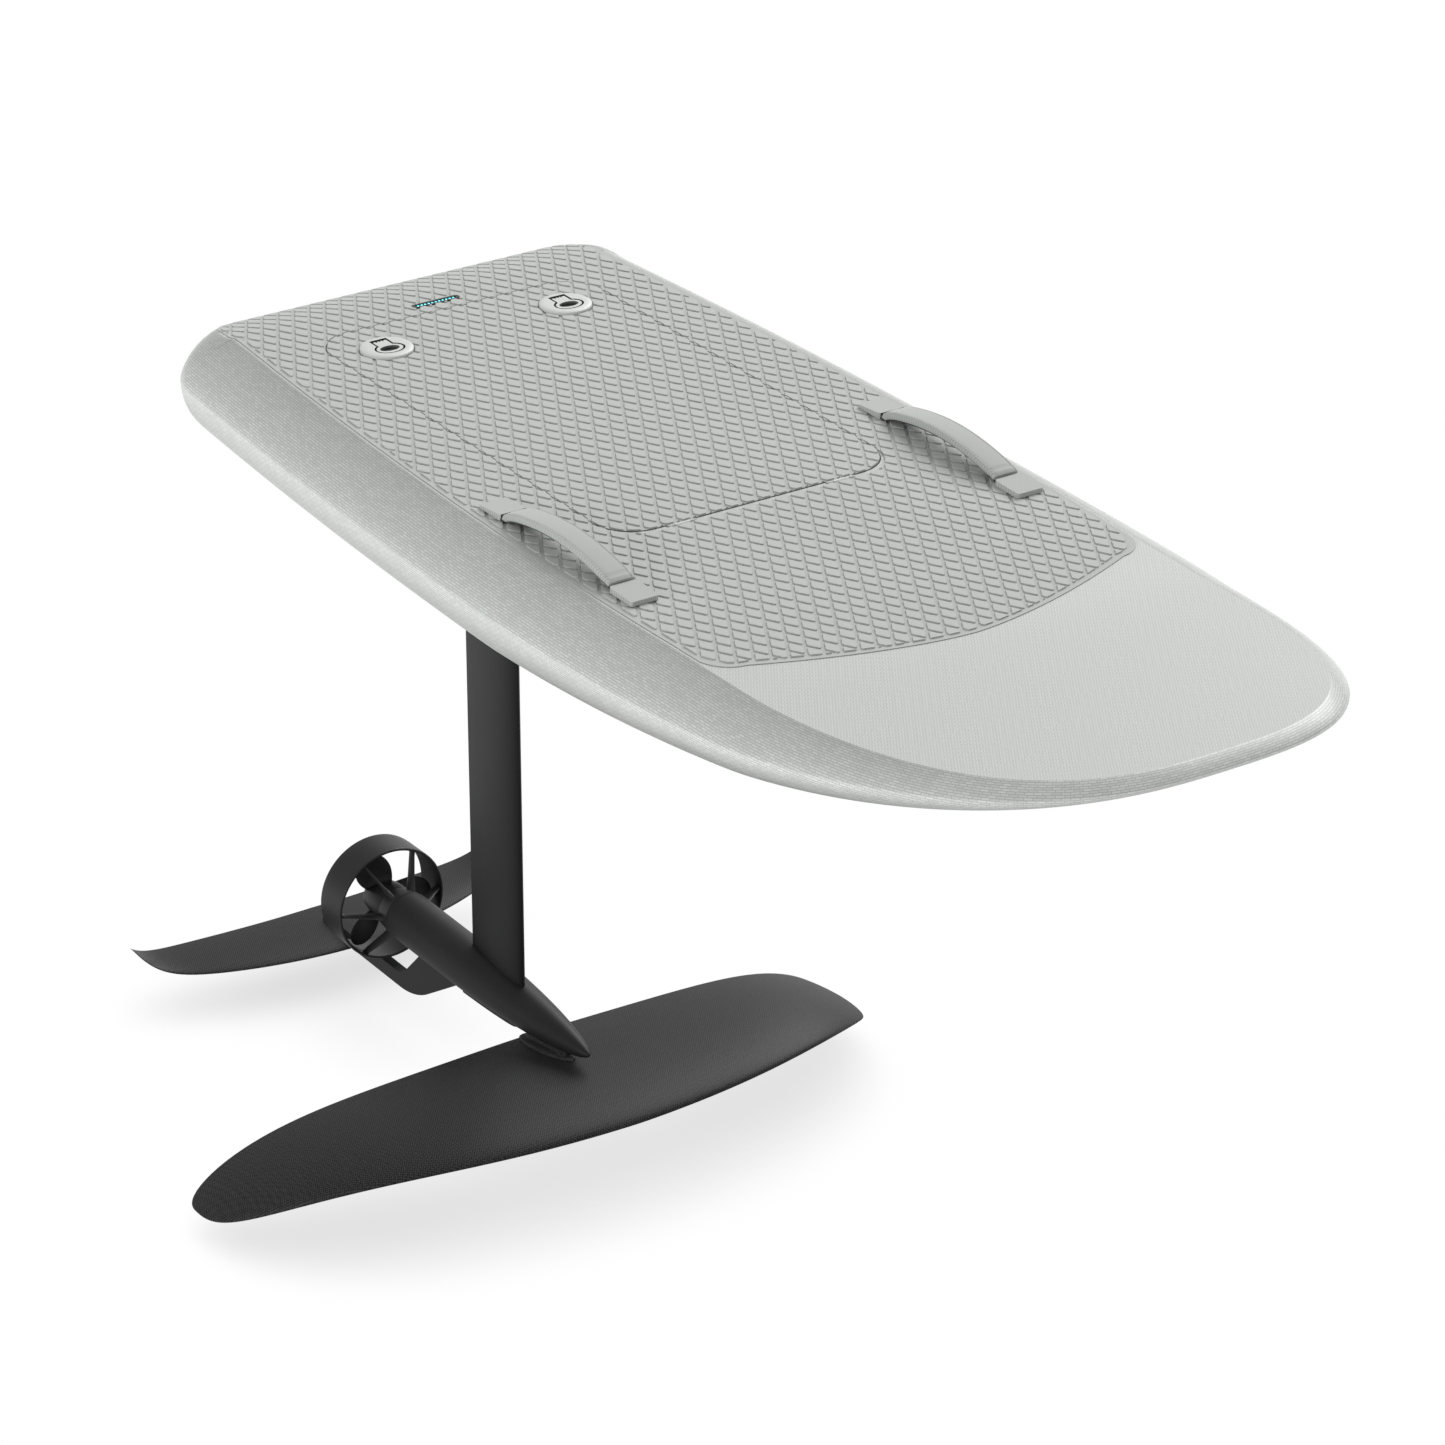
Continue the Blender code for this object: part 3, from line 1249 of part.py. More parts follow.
def make_pod():
    cavity_radius = POD_RADIUS - POD_WALL
    shell = turned("motor_pod", pod_profile(), POD_AXIS, FORWARD, BLACK_METAL)
    bearing_end = MOTOR_CAVITY_FRONT_X + BEARING_WIDTH + 2 * FIT
    cavity_profile = [
        (bearing_end, 0.0),
        (bearing_end, BEARING_RADIUS + FIT),
        (MOTOR_CAVITY_FRONT_X, BEARING_RADIUS + FIT),
        (MOTOR_CAVITY_FRONT_X, cavity_radius),
        (POD_REAR_X - SKIN, cavity_radius),
        (POD_REAR_X - SKIN, 0.0),
    ]
    cavity = turned("motor_cavity", cavity_profile, POD_AXIS, FORWARD, cutter=True)
    entry_low = (CABLE_X, 0, POD_AXIS_Z)
    entry = rod("pod_cable_hole", entry_low, UP, 2 * POD_RADIUS, CABLE_BORE_RADIUS, cutter=True)
    channel_rear = (MOTOR_CAVITY_FRONT_X - SKIN, 0, POD_AXIS_Z + (BEARING_RADIUS + cavity_radius) / 2)
    channel_length = CABLE_X - channel_rear[0]
    channel = rod("pod_cable_channel", channel_rear, FORWARD, channel_length, CABLE_BORE_RADIUS, cutter=True)
    cut(shell, cavity, entry, channel)
    for i, x in enumerate(WING_SCREW_X):
        low = (x, 0, POD_AXIS_Z - 2 * POD_RADIUS)
        length = 2 * POD_RADIUS - wing_screw_depth(x)
        cut(shell, rod(f"pod_screw_hole_{i}", low, UP, length, SCREW_RADIUS + FIT, cutter=True))
    stator_rear = POD_REAR_X + STATOR_REAR_CLEARANCE
    bearing_rear = POD_REAR_X + GUARD_SPIGOT - BEARING_WIDTH - FIT
    rings = (
        ("motor_stator", stator_rear, STATOR_LENGTH, STATOR_BORE_RADIUS, cavity_radius - FIT, COPPER),
        ("front_bearing", MOTOR_CAVITY_FRONT_X, BEARING_WIDTH, SHAFT_RADIUS + FIT, BEARING_RADIUS, STEEL),
        ("rear_bearing", bearing_rear, BEARING_WIDTH, SHAFT_RADIUS + FIT, BEARING_RADIUS, STEEL),
        ("shaft_seal", GUARD_HUB_REAR_X + FIT, BEARING_WIDTH, SHAFT_RADIUS + RUNNING, SEAL_BORE_RADIUS - FIT,
         SOFT_RUBBER),
    )
    for name, rear, length, bore, radius, material in rings:
        washer(name, (rear, 0, POD_AXIS_Z), FORWARD, length, bore, radius, material)


def wing_screw_depth(x):
    """How far below the pod's axis the tip of a wing screw's hole ends."""
    share = (x - POD_TAPER_START_X) / (POD_NOSE_X - POD_TAPER_START_X)
    radius = POD_RADIUS * (1.0 - share**POD_TAPER_POWER) ** POD_ROUNDING_POWER
    return radius - WING_SCREW_BITE


def around_axis(x, radius, angle):
    """A point about the pod's axis; angle 0 is straight up and grows towards port."""
    return (x, radius * math.sin(angle), POD_AXIS_Z + radius * math.cos(angle))


def guard_inner_radius():
    return GUARD_OUTER_RADIUS - GUARD_WALL


def make_guard():
    """Duct ring, hub and struts, joined as the one moulding they are."""
    front = GUARD_FRONT_X
    rear = GUARD_FRONT_X - GUARD_LENGTH
    outer = GUARD_OUTER_RADIUS
    inner = guard_inner_radius()
    lip = GUARD_WALL * 0.45
    ring_profile = [
        (front, outer - GUARD_WALL / 2),
        (front - lip * 0.4, outer - lip * 0.35),
        (front - 2 * lip, outer),
        ((front + rear) / 2, outer - GUARD_TAPER * 0.35),
        (rear, outer - GUARD_TAPER),
        (rear, inner - GUARD_TAPER * 0.2),
        ((front + rear) / 2, inner - GUARD_TAPER * 0.1),
        (front - 2 * lip, inner),
        (front - lip * 0.4, inner + lip * 0.35),
    ]
    guard = turned("prop_guard", ring_profile, POD_AXIS, FORWARD, BLACK_PLASTIC, closed=True, steps=40)
    cavity_radius = POD_RADIUS - POD_WALL
    hub_front = POD_REAR_X - FIT
    spigot_front = POD_REAR_X + GUARD_SPIGOT
    bearing_seat = spigot_front - BEARING_WIDTH - 2 * FIT
    hub_profile = [
        (spigot_front, BEARING_RADIUS + FIT),
        (spigot_front, cavity_radius - FIT),
        (hub_front, cavity_radius - FIT),
        (hub_front, POD_RADIUS - FIT),
        (GUARD_HUB_REAR_X, GUARD_HUB_REAR_RADIUS),
        (GUARD_HUB_REAR_X, SEAL_BORE_RADIUS),
        (bearing_seat, SEAL_BORE_RADIUS),
        (bearing_seat, BEARING_RADIUS + FIT),
    ]
    hub = turned("guard_hub", hub_profile, POD_AXIS, FORWARD, cutter=True, closed=True, steps=28)
    struts = []
    root_x = (hub_front + GUARD_HUB_REAR_X) / 2
    tip_x = front - GUARD_LENGTH * 0.15 - STRUT_TIP_CHORD / 2 + 2 * lip
    root_radius = (POD_RADIUS + GUARD_HUB_REAR_RADIUS) / 2
    stations = (
        (root_radius - 4 * STRUT_THICKNESS / 3, STRUT_ROOT_CHORD, STRUT_BOSS_RATIO),
        (root_radius + STRUT_THICKNESS * 0.6, STRUT_ROOT_CHORD * 0.96, STRUT_BOSS_RATIO * 0.85),
        (root_radius + 2 * STRUT_THICKNESS, STRUT_ROOT_CHORD * 0.82, 1.0),
        (inner + GUARD_WALL / 2, STRUT_TIP_CHORD, STRUT_TIP_RATIO),
    )
    for i in range(STRUT_COUNT):
        angle = STRUT_FIRST_ANGLE + 2 * math.pi * i / STRUT_COUNT
        rings = []
        for radius, chord, fatness in stations:
            share = (radius - stations[0][0]) / (stations[-1][0] - stations[0][0])
            middle_x = root_x + (tip_x - root_x) * share
            ring = []
            for k in range(8):
                around = 2 * math.pi * k / 8
                x = middle_x + chord / 2 * math.cos(around)
                sideways = STRUT_THICKNESS / 2 * fatness * math.sin(around)
                ring.append(around_axis(x, radius, angle + sideways / radius))
            rings.append(ring)
        struts.append(loft(f"guard_strut_{i}", rings, cutter=True))
    join(guard, *struts, hub)


def make_propeller():
    hub_front = GUARD_HUB_REAR_X - RUNNING
    shaft_bore = SHAFT_RADIUS + FIT
    hub_profile = [
        (hub_front, shaft_bore),
        (hub_front, PROP_HUB_RADIUS),
        ((hub_front + PROP_HUB_REAR_X) / 2, PROP_HUB_RADIUS * 0.99),
        (PROP_HUB_REAR_X, PROP_HUB_REAR_RADIUS),
        (PROP_HUB_REAR_X, shaft_bore),
    ]
    propeller = turned("propeller", hub_profile, POD_AXIS, FORWARD, BLACK_PLASTIC, closed=True)
    tip = guard_inner_radius() - GUARD_TAPER * 0.2 - BLADE_TIP_GAP
    root = PROP_HUB_REAR_RADIUS * 0.8
    blades = []
    stations = 9
    for b in range(BLADE_COUNT):
        base_angle = BLADE_FIRST_ANGLE + 2 * math.pi * b / BLADE_COUNT
        rings = []
        for i in range(stations):
            share = math.sin(math.pi / 2 * i / (stations - 1))
            radius = root + (tip - root) * share
            widen = math.sin(math.pi / 2 * min(share * BLADE_WIDEN_RATE, 1.0))
            rounding = math.sqrt(max(1.0 - share**BLADE_TIP_POWER, 0.0))
            full_chord = BLADE_ROOT_CHORD + (BLADE_CHORD - BLADE_ROOT_CHORD) * widen
            chord = full_chord * max(rounding, BLADE_TIP_SHARE)
            thickness = BLADE_THICKNESS * (1.0 - BLADE_THINNING * share)
            pitch = math.atan(BLADE_PITCH / (2 * math.pi * radius))
            ring = []
            for k in range(8):
                around = 2 * math.pi * k / 8
                along = chord / 2 * math.cos(around)
                off = thickness / 2 * math.sin(around)
                axial = along * math.sin(pitch) + off * math.cos(pitch)
                sideways = along * math.cos(pitch) - off * math.sin(pitch)
                ring.append(around_axis(BLADE_X + axial, radius, base_angle + sideways / radius))
            rings.append(ring)
        blades.append(loft(f"propeller_blade_{b}", rings, cutter=True))
    join(propeller, *blades)
    bore_rear = (PROP_HUB_REAR_X - SKIN, 0, POD_AXIS_Z)
    bore_length = hub_front - PROP_HUB_REAR_X + 2 * SKIN
    cut(propeller, rod("propeller_bore", bore_rear, FORWARD, bore_length, shaft_bore, cutter=True, steps=24))
    shaft_front = MOTOR_CAVITY_FRONT_X + BEARING_WIDTH
    shaft_rear = (PROP_HUB_REAR_X - NUT_LENGTH / 2, 0, POD_AXIS_Z)
    shaft_length = shaft_front - shaft_rear[0]
    shaft = rod("motor_shaft", shaft_rear, FORWARD, shaft_length, SHAFT_RADIUS, STEEL, steps=24)
    rotor_rear = (POD_REAR_X + STATOR_REAR_CLEARANCE, 0, POD_AXIS_Z)
    rotor = washer("motor_rotor", rotor_rear, FORWARD, STATOR_LENGTH, shaft_bore, ROTOR_RADIUS, STEEL)
    nut_front = PROP_HUB_REAR_X - FIT
    nut_profile = [(nut_front, 0.0)]
    dome_steps = 5
    for i in range(dome_steps + 1):
        angle = math.pi / 2 * i / dome_steps
        radius = PROP_HUB_REAR_RADIUS * math.cos(angle)
        nut_profile.append((nut_front - NUT_LENGTH * math.sin(angle), radius))
    nut_profile[-1] = (nut_front - NUT_LENGTH, 0.0)
    nut = turned("propeller_nut", nut_profile, POD_AXIS, FORWARD, BLACK_PLASTIC, steps=24)
    thread_rear = (shaft_rear[0] - FIT, 0, POD_AXIS_Z)
    cut(nut, rod("nut_thread", thread_rear, FORWARD, NUT_LENGTH, shaft_bore, cutter=True, steps=24))
    axis = joint_empty("propeller_axis", (BLADE_X, 0, POD_AXIS_Z))
    carry(axis, propeller, shaft, rotor, nut)


# Wings


def wing_ring(trailing, chord, ratio, incidence, steps=9):
    """A lightly cambered section loop in its own plane, from the trailing edge round the leading edge."""
    upper = []
    lower = []
    for i in range(steps + 1):
        share = (1.0 - math.cos(math.pi * i / steps)) / 2
        half = chord * section_thickness(share, ratio)
        line = 4 * CAMBER_RATIO * chord * share * (1.0 - share)
        ahead = chord * (1.0 - share)
        x = trailing.x + ahead * math.cos(incidence)
        z = trailing.z + ahead * math.sin(incidence) + line
        upper.append((x, trailing.y, z + half))
        lower.append((x, trailing.y, z - half))
    return list(reversed(upper)) + lower[1:]


def foil_wing(name, half_span, stations, place, ratio, incidence, material):
    """A wing lofted across the span; place(share) gives its trailing-edge point and chord."""
    rings = []
    for i in range(-stations, stations + 1):
        share = math.sin(math.pi / 2 * i / stations) * TIP_SHARE
        trailing, chord = place(abs(share))
        trailing.y = half_span * share
        rings.append(wing_ring(trailing, chord, ratio, incidence))
    return loft(name, rings, material)


def front_wing_place(share):
    chord = WING_ROOT_CHORD * (1.0 - share**WING_CHORD_POWER) ** (1.0 / WING_TIP_POWER)
    root_line = WING_TRAILING_X + WING_ROOT_CHORD - WING_SWEEP_RATIO * WING_ROOT_CHORD
    line = root_line - WING_SWEEP * share**WING_SWEEP_POWER
    trailing_x = line + WING_SWEEP_RATIO * chord - chord
    return Vector((trailing_x, 0, WING_Z - WING_TIP_DROP * share**WING_DROP_POWER)), chord


def stabiliser_place(share):
    chord = STAB_ROOT_CHORD * (1.0 - share**STAB_CHORD_POWER) ** (1.0 / STAB_TIP_POWER)
    root_line = STAB_LEADING_X - STAB_SWEEP_RATIO * STAB_ROOT_CHORD
    line = root_line - STAB_SWEEP * share**STAB_SWEEP_POWER
    trailing_x = line + STAB_SWEEP_RATIO * chord - chord
    return Vector((trailing_x, 0, STAB_Z + STAB_TIP_RISE * share**STAB_RISE_POWER)), chord


def screw(name, x, head_low, tip, material=STEEL):
    """A countersunk-style machine screw pointing up, with its head at head_low."""
    profile = [
        (tip - head_low, 0.0),
        (tip - head_low, SCREW_RADIUS),
        (SCREW_HEAD_HEIGHT, SCREW_RADIUS),
        (SCREW_HEAD_HEIGHT * 0.4, SCREW_HEAD_RADIUS),
        (0.0, SCREW_HEAD_RADIUS),
        (0.0, 0.0),
    ]
    return turned(name, profile, (x, 0, head_low), UP, material, steps=16)


def screw_bore(name, x, head_low, tip):
    """The clearance bore for such a screw, open below."""
    gap = FIT
    profile = [
        (tip - head_low + gap, 0.0),
        (tip - head_low + gap, SCREW_RADIUS + gap),
        (SCREW_HEAD_HEIGHT + gap, SCREW_RADIUS + gap),
        (SCREW_HEAD_HEIGHT * 0.4 + gap, SCREW_HEAD_RADIUS + gap),
        (-4 * SCREW_HEAD_HEIGHT, SCREW_HEAD_RADIUS + gap),
        (-4 * SCREW_HEAD_HEIGHT, 0.0),
    ]
    return turned(name, profile, (x, 0, head_low), UP, cutter=True, steps=16)


def centre_surfaces(trailing, chord, ratio, incidence, x):
    """Heights of a wing's underside and top on the centre line; trailing is its (x, z) trailing edge."""
    ahead = x - trailing[0]
    share = 1.0 - ahead / (chord * math.cos(incidence))
    line = 4 * CAMBER_RATIO * chord * share * (1.0 - share)
    middle = trailing[1] + ahead * math.tan(incidence) + line
    half = chord * section_thickness(share, ratio)
    return middle - half, middle + half


def wing_surfaces(x):
    trailing = (WING_TRAILING_X, WING_Z)
    return centre_surfaces(trailing, WING_ROOT_CHORD, WING_THICKNESS_RATIO, WING_INCIDENCE, x)


def stabiliser_surfaces(x):
    trailing = (STAB_LEADING_X - STAB_ROOT_CHORD, STAB_Z)
    return centre_surfaces(trailing, STAB_ROOT_CHORD, STAB_THICKNESS_RATIO, STAB_INCIDENCE, x)


def make_front_wing():
    wing = foil_wing(
        "front_wing", WING_HALF_SPAN, 11, front_wing_place, WING_THICKNESS_RATIO, WING_INCIDENCE, CARBON
    )
    rings = []
    steps = 8
    for i in range(steps + 1):
        share = i / steps
        x = WING_TRAILING_X + 2 * FIT + (SADDLE_FRONT_X - WING_TRAILING_X) * share
        swell = math.sin(math.pi * share) ** SADDLE_SWELL_POWER
        width = SADDLE_END_HALF_WIDTH + (SADDLE_HALF_WIDTH - SADDLE_END_HALF_WIDTH) * swell
        low, high = wing_surfaces(x)
        port_side = [
            (x, width * SADDLE_FLAT_SHARE, high + SADDLE_RISE),
            (x, width * SADDLE_SIDE_SHARE, high + SADDLE_RISE / 2),
            (x, width, (low + high) / 2),
        ]
        starboard_side = [(x, -y, z) for x, y, z in reversed(port_side)]
        rings.append(starboard_side + port_side)
    saddle = loft("wing_saddle", rings, cutter=True)
    join(wing, saddle)
    cut(wing, pod_cutter("wing_pod_seat", FIT))
    for i, x in enumerate(WING_SCREW_X):
        head_low = wing_surfaces(x)[0] + FIT
        tip = POD_AXIS_Z - wing_screw_depth(x) - FIT
        cut(wing, screw_bore(f"wing_screw_bore_{i}", x, head_low, tip))
        screw(f"wing_screw_{i + 1}", x, head_low, tip)


def make_keel_panel():
    """A thin cover that follows the pod's underside, from the wing's trailing edge back."""
    panel = turned("keel_panel", pod_profile(FIT + PANEL_THICKNESS), POD_AXIS, FORWARD, BLACK_METAL)
    outline = rounded_rectangle(PANEL_REAR_X, WING_TRAILING_X - FIT, PANEL_HALF_WIDTH, PANEL_CORNER)
    trim = plate("panel_outline", [outline], POD_AXIS_Z - 2 * POD_RADIUS, POD_AXIS_Z, cutter=True)
    boolean(panel, "INTERSECT", trim)
    cut(panel, pod_cutter("panel_pod_seat", FIT))


def arm_outline():
    """Side view of the tail arm as (x, z): foot on the pod, knee, tongue over the stabiliser, elbow."""
    foot_z = POD_AXIS_Z - POD_RADIUS * ARM_FOOT_SHARE
    tongue_low = ARM_TOP_Z - TONGUE_HEIGHT
    down = -math.pi / 2
    knee_centre = (ARM_KNEE_X, ARM_BOTTOM_Z + ARM_KNEE_RADIUS)
    knee = arc(knee_centre, ARM_KNEE_RADIUS, down + ARM_FRONT_SLOPE, down, 6)
    front_foot_x = knee[0][0] + (foot_z - knee[0][1]) / math.tan(ARM_FRONT_SLOPE)
    elbow_centre = (ARM_ELBOW_X, ARM_TOP_Z + ARM_ELBOW_RADIUS)
    elbow = arc(elbow_centre, ARM_ELBOW_RADIUS, down, down + ARM_REAR_SLOPE, 5)
    rear_foot_x = elbow[-1][0] + (foot_z - elbow[-1][1]) / math.tan(ARM_REAR_SLOPE)
    step_x = STAB_LEADING_X + TONGUE_TIP
    return [
        (front_foot_x, foot_z),
        *knee,
        (step_x, ARM_BOTTOM_Z),
        (step_x, tongue_low),
        (ARM_TAIL_X, tongue_low),
        (ARM_TAIL_X, tongue_low + TONGUE_TIP),
        (ARM_TAIL_X + TONGUE_HEIGHT, ARM_TOP_Z),
        *elbow,
        (rear_foot_x, foot_z),
    ]


def make_tail():
    outline = arm_outline()
    arm = side_plate("tail_arm", outline, -ARM_HALF_WIDTH, ARM_HALF_WIDTH, BLACK_METAL)
    round_edges(arm, ARM_EDGE)
    cut(arm, pod_cutter("arm_pod_seat", FIT))
    stabiliser = foil_wing(
        "stabiliser", STAB_HALF_SPAN, 9, stabiliser_place, STAB_THICKNESS_RATIO, STAB_INCIDENCE, CARBON
    )
    seat_half_width = ARM_HALF_WIDTH + FIT
    seat = side_plate("stabiliser_seat", outline, -seat_half_width, seat_half_width, cutter=True)
    seat.location.z = -FIT
    cut(stabiliser, seat)
    for i, x in enumerate(STAB_SCREW_X):
        head_low = stabiliser_surfaces(x)[0] + FIT
        tip = ARM_TOP_Z - TONGUE_HEIGHT + STAB_SCREW_BITE
        bore = screw_bore(f"stabiliser_screw_bore_{i}", x, head_low, tip)
        cut(stabiliser, bore)
        cut(arm, bore)
        screw(f"stabiliser_screw_{i + 1}", x, head_low, tip)


make_hull()
make_deck()
make_bay()
make_battery()
make_handles()
make_hatch()
make_mast()
make_pod()
make_guard()
make_propeller()
make_front_wing()
make_keel_panel()
make_tail()
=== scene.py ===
"""Looks of an electric hydrofoil board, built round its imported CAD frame.

Metres, in the CAD's frame: +X points to the nose, +Y to port, +Z up.
"""

import math
from collections import namedtuple
from contextlib import contextmanager

import bmesh
import bpy
from mathutils import Matrix, Vector


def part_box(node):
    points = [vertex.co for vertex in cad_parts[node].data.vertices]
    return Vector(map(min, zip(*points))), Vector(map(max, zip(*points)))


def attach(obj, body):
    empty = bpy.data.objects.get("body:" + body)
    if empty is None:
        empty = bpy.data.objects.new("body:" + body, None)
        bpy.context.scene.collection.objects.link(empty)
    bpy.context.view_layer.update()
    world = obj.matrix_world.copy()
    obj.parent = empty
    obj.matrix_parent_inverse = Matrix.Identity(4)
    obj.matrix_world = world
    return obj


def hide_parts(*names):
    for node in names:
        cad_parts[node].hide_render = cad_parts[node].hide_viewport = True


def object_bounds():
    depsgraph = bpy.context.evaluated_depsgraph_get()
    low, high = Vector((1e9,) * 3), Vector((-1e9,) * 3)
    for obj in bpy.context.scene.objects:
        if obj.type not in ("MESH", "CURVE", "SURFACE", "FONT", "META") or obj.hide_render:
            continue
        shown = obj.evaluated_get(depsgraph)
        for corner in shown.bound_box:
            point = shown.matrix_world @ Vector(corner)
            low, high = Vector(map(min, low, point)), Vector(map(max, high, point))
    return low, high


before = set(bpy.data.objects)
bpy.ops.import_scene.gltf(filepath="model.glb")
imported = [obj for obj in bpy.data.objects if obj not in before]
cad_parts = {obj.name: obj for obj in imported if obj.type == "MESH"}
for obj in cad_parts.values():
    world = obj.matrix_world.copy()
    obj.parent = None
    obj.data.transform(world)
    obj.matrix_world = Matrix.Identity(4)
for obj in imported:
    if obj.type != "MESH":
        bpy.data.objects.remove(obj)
cad_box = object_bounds()

# Hull, as in the CAD, with finer steps
TAIL_X = -0.471
NOSE_X = 1.157
DECK_Z = 0.1255
RAIL_HALF_WIDTH = 0.349
WIDEST_X = 0.355
TAIL_HALF_WIDTH = 0.309
TAIL_TAPER_POWER = 1.88
TAIL_CORNER_RADIUS = 0.080
NOSE_LENGTH_POWER = 2.68
NOSE_WIDTH_POWER = 2.83
SHOULDER_SIDE = 0.0626
SHOULDER_TAIL = 0.0085
SHOULDER_NOSE = 0.018
SHOULDER_FADE_X = 0.56
NOSE_BLEND_X = 0.90
SHOULDER_POWER = 1.2
SHOULDER_TAIL_POWER = 1.8
SHOULDER_TURN_POWER = 0.8
RAIL_DROP = 0.0505
TAIL_ROLL_X = -0.383
TAIL_ROLL_DROP = 0.0163
TAIL_ROLL_POWER = 1.48
TAIL_ROLL_CUTS = 22
BOTTOM_TUCK = 0.087
BOTTOM_TUCK_NOSE = 0.050
TUCK_POWER = 2.15
NOSE_THICKNESS = 0.0237
NOSE_KICK = 0.0345
NOSE_KICK_POWER = 1.35
NOSE_KICK_START_X = 0.742
ROCKER_START_X = 0.287
ROCKER_POWER = 1.4
SKIN = 0.005
CORNER_STEPS = 20
SIDE_STEPS = 44
NOSE_STEPS = 44
OUTER_STEPS = (14, 14)
INNER_STEPS = (3, 3)

# Deck pad and its diamond tiles
FIT = 0.0003
SEAM = 0.0012
PAD_TOP_Z = 0.128
PAD_EDGE_INSET = 0.0035
PAD_TAIL_X = -0.4605
PAD_FRONT_X = 0.731
PAD_FRONT_BOW = 0.066
PAD_BOW_POWER = 1.6
PAD_BOW_STEPS = 24
PAD_FRONT_CORNER = 0.036
PAD_CORNER_STEPS = 12
PAD_TAIL_CORNER = 0.030
PAD_BEVEL = 0.0005
PAD_RIM = 0.0062
HATCH_HALF_LENGTH = 0.329
HATCH_HALF_WIDTH = 0.184
HATCH_CORNER = 0.050
HATCH_PAD_BEVEL = 0.0004
HINGE_BAND = 0.008
TILE_HALF_LENGTH = 0.01892
TILE_HALF_WIDTH = 0.01051
TILE_SHARE = 0.76
TILE_BLUNT = 0.09
TILE_HEIGHT = 0.0016
TILE_CROWN = 0.0003
TILE_DRAFT = 0.0004
TILE_CROWN_DRAFT = 1.6
TILE_REACH = 0.9
LIGHT_CORNER = 0.0045
KNOB_GAP = 0.0008

# Camera and studio
CAMERA_PLACE = (4.9536, -3.1247, 2.6204)
CAMERA_RIGHT = (0.5539, 0.8326, 0.0)
CAMERA_UP = (-0.3696, 0.2458, 0.8961)
CAMERA_BACK = (0.7461, -0.4963, 0.4439)
LENS = 139.9
SENSOR = 36.0
SKY_STRENGTH = 0.46
FLOOR_GAP = 0.035
FLOOR_HALF_SIZE = 40.0
# Painted shadow on the floor, close under the foils
CONTACT_REACH = 0.20
CONTACT_SHADE = 0.62
CONTACT_START = 0.10
CONTACT_END = 0.88
GLOW_CENTRE = (0.35, 0.0, 0.0)
GLOW_NEAR = 0.5
GLOW_FAR = 1.8
GLOW_NEAR_STRENGTH = 0.35
GLOW_FAR_STRENGTH = 1.1

SIDES = ("port", "starboard")
QUARTER = math.pi / 2


# Materials


def feed(tree, sockets, inputs):
    """Set input sockets to values, or link them to the outputs of other nodes."""
    for name, value in inputs.items():
        if isinstance(value, bpy.types.NodeSocket):
            tree.links.new(value, sockets[name])
        else:
            sockets[name].default_value = value


def add(tree, kind, inputs=None, **settings):
    """A new node with its settings, and its inputs set or linked."""
    node = tree.nodes.new(kind)
    for name, value in settings.items():
        setattr(node, name, value)
    feed(tree, node.inputs, inputs or {})
    return node


def coordinates(tree, scale=(1, 1, 1), turn=(0, 0, 0), source="Object"):
    """A place on the surface, scaled and turned."""
    spot = add(tree, "ShaderNodeTexCoord").outputs[source]
    inputs = {"Vector": spot, "Scale": scale, "Rotation": turn}
    return add(tree, "ShaderNodeMapping", inputs).outputs["Vector"]


def noise(tree, vector, scale, detail=3.0):
    inputs = {"Vector": vector, "Scale": scale, "Detail": detail, "Roughness": 0.6}
    return add(tree, "ShaderNodeTexNoise", inputs).outputs["Fac"]


def bands(tree, vector, scale, direction, distortion=0.0):
    inputs = {"Vector": vector, "Scale": scale, "Distortion": distortion}
    return add(tree, "ShaderNodeTexWave", inputs, bands_direction=direction).outputs["Fac"]


def grey(brightness):
    return (brightness, brightness, brightness, 1.0)


def tinted(colour, factor=1.0):
    """A colour made darker or lighter, as the nodes take it."""
    return (*(min(channel * factor, 1.0) for channel in colour), 1.0)


def ramp(tree, value, *stops):
    """A colour by a value, from (place, colour) stops."""
    node = add(tree, "ShaderNodeValToRGB", {"Fac": value})
    elements = node.color_ramp.elements
    for _ in stops[2:]:
        elements.new(0.5)
    for element, (position, colour) in zip(elements, stops):
        element.position = position
        element.color = colour
    return node.outputs["Color"]


def toned(tree, value, colour, contrast, low, high):
    """A colour that runs from darker to lighter by a value."""
    return ramp(tree, value, (low, tinted(colour, 1.0 - contrast)), (high, tinted(colour, 1.0 + contrast)))


def span(tree, value, low, high):
    """A value from 0 to 1, spread between two numbers."""
    inputs = {"Value": value, "To Min": low, "To Max": high}
    return add(tree, "ShaderNodeMapRange", inputs).outputs["Result"]


def mixed(tree, factor, first, second, kind="RGBA", blend="MIX"):
    node = add(tree, "ShaderNodeMix", data_type=kind, blend_type=blend)
    feed(tree, [s for s in node.inputs if s.enabled], {0: factor, 1: first, 2: second})
    return [s for s in node.outputs if s.enabled][0]


def bump(tree, height, strength, distance):
    inputs = {"Height": height, "Strength": strength, "Distance": distance}
    return add(tree, "ShaderNodeBump", inputs).outputs["Normal"]


def new_material(name):
    material = bpy.data.materials.new(name)
    material.use_nodes = True
    return material, material.node_tree, material.node_tree.nodes["Principled BSDF"]


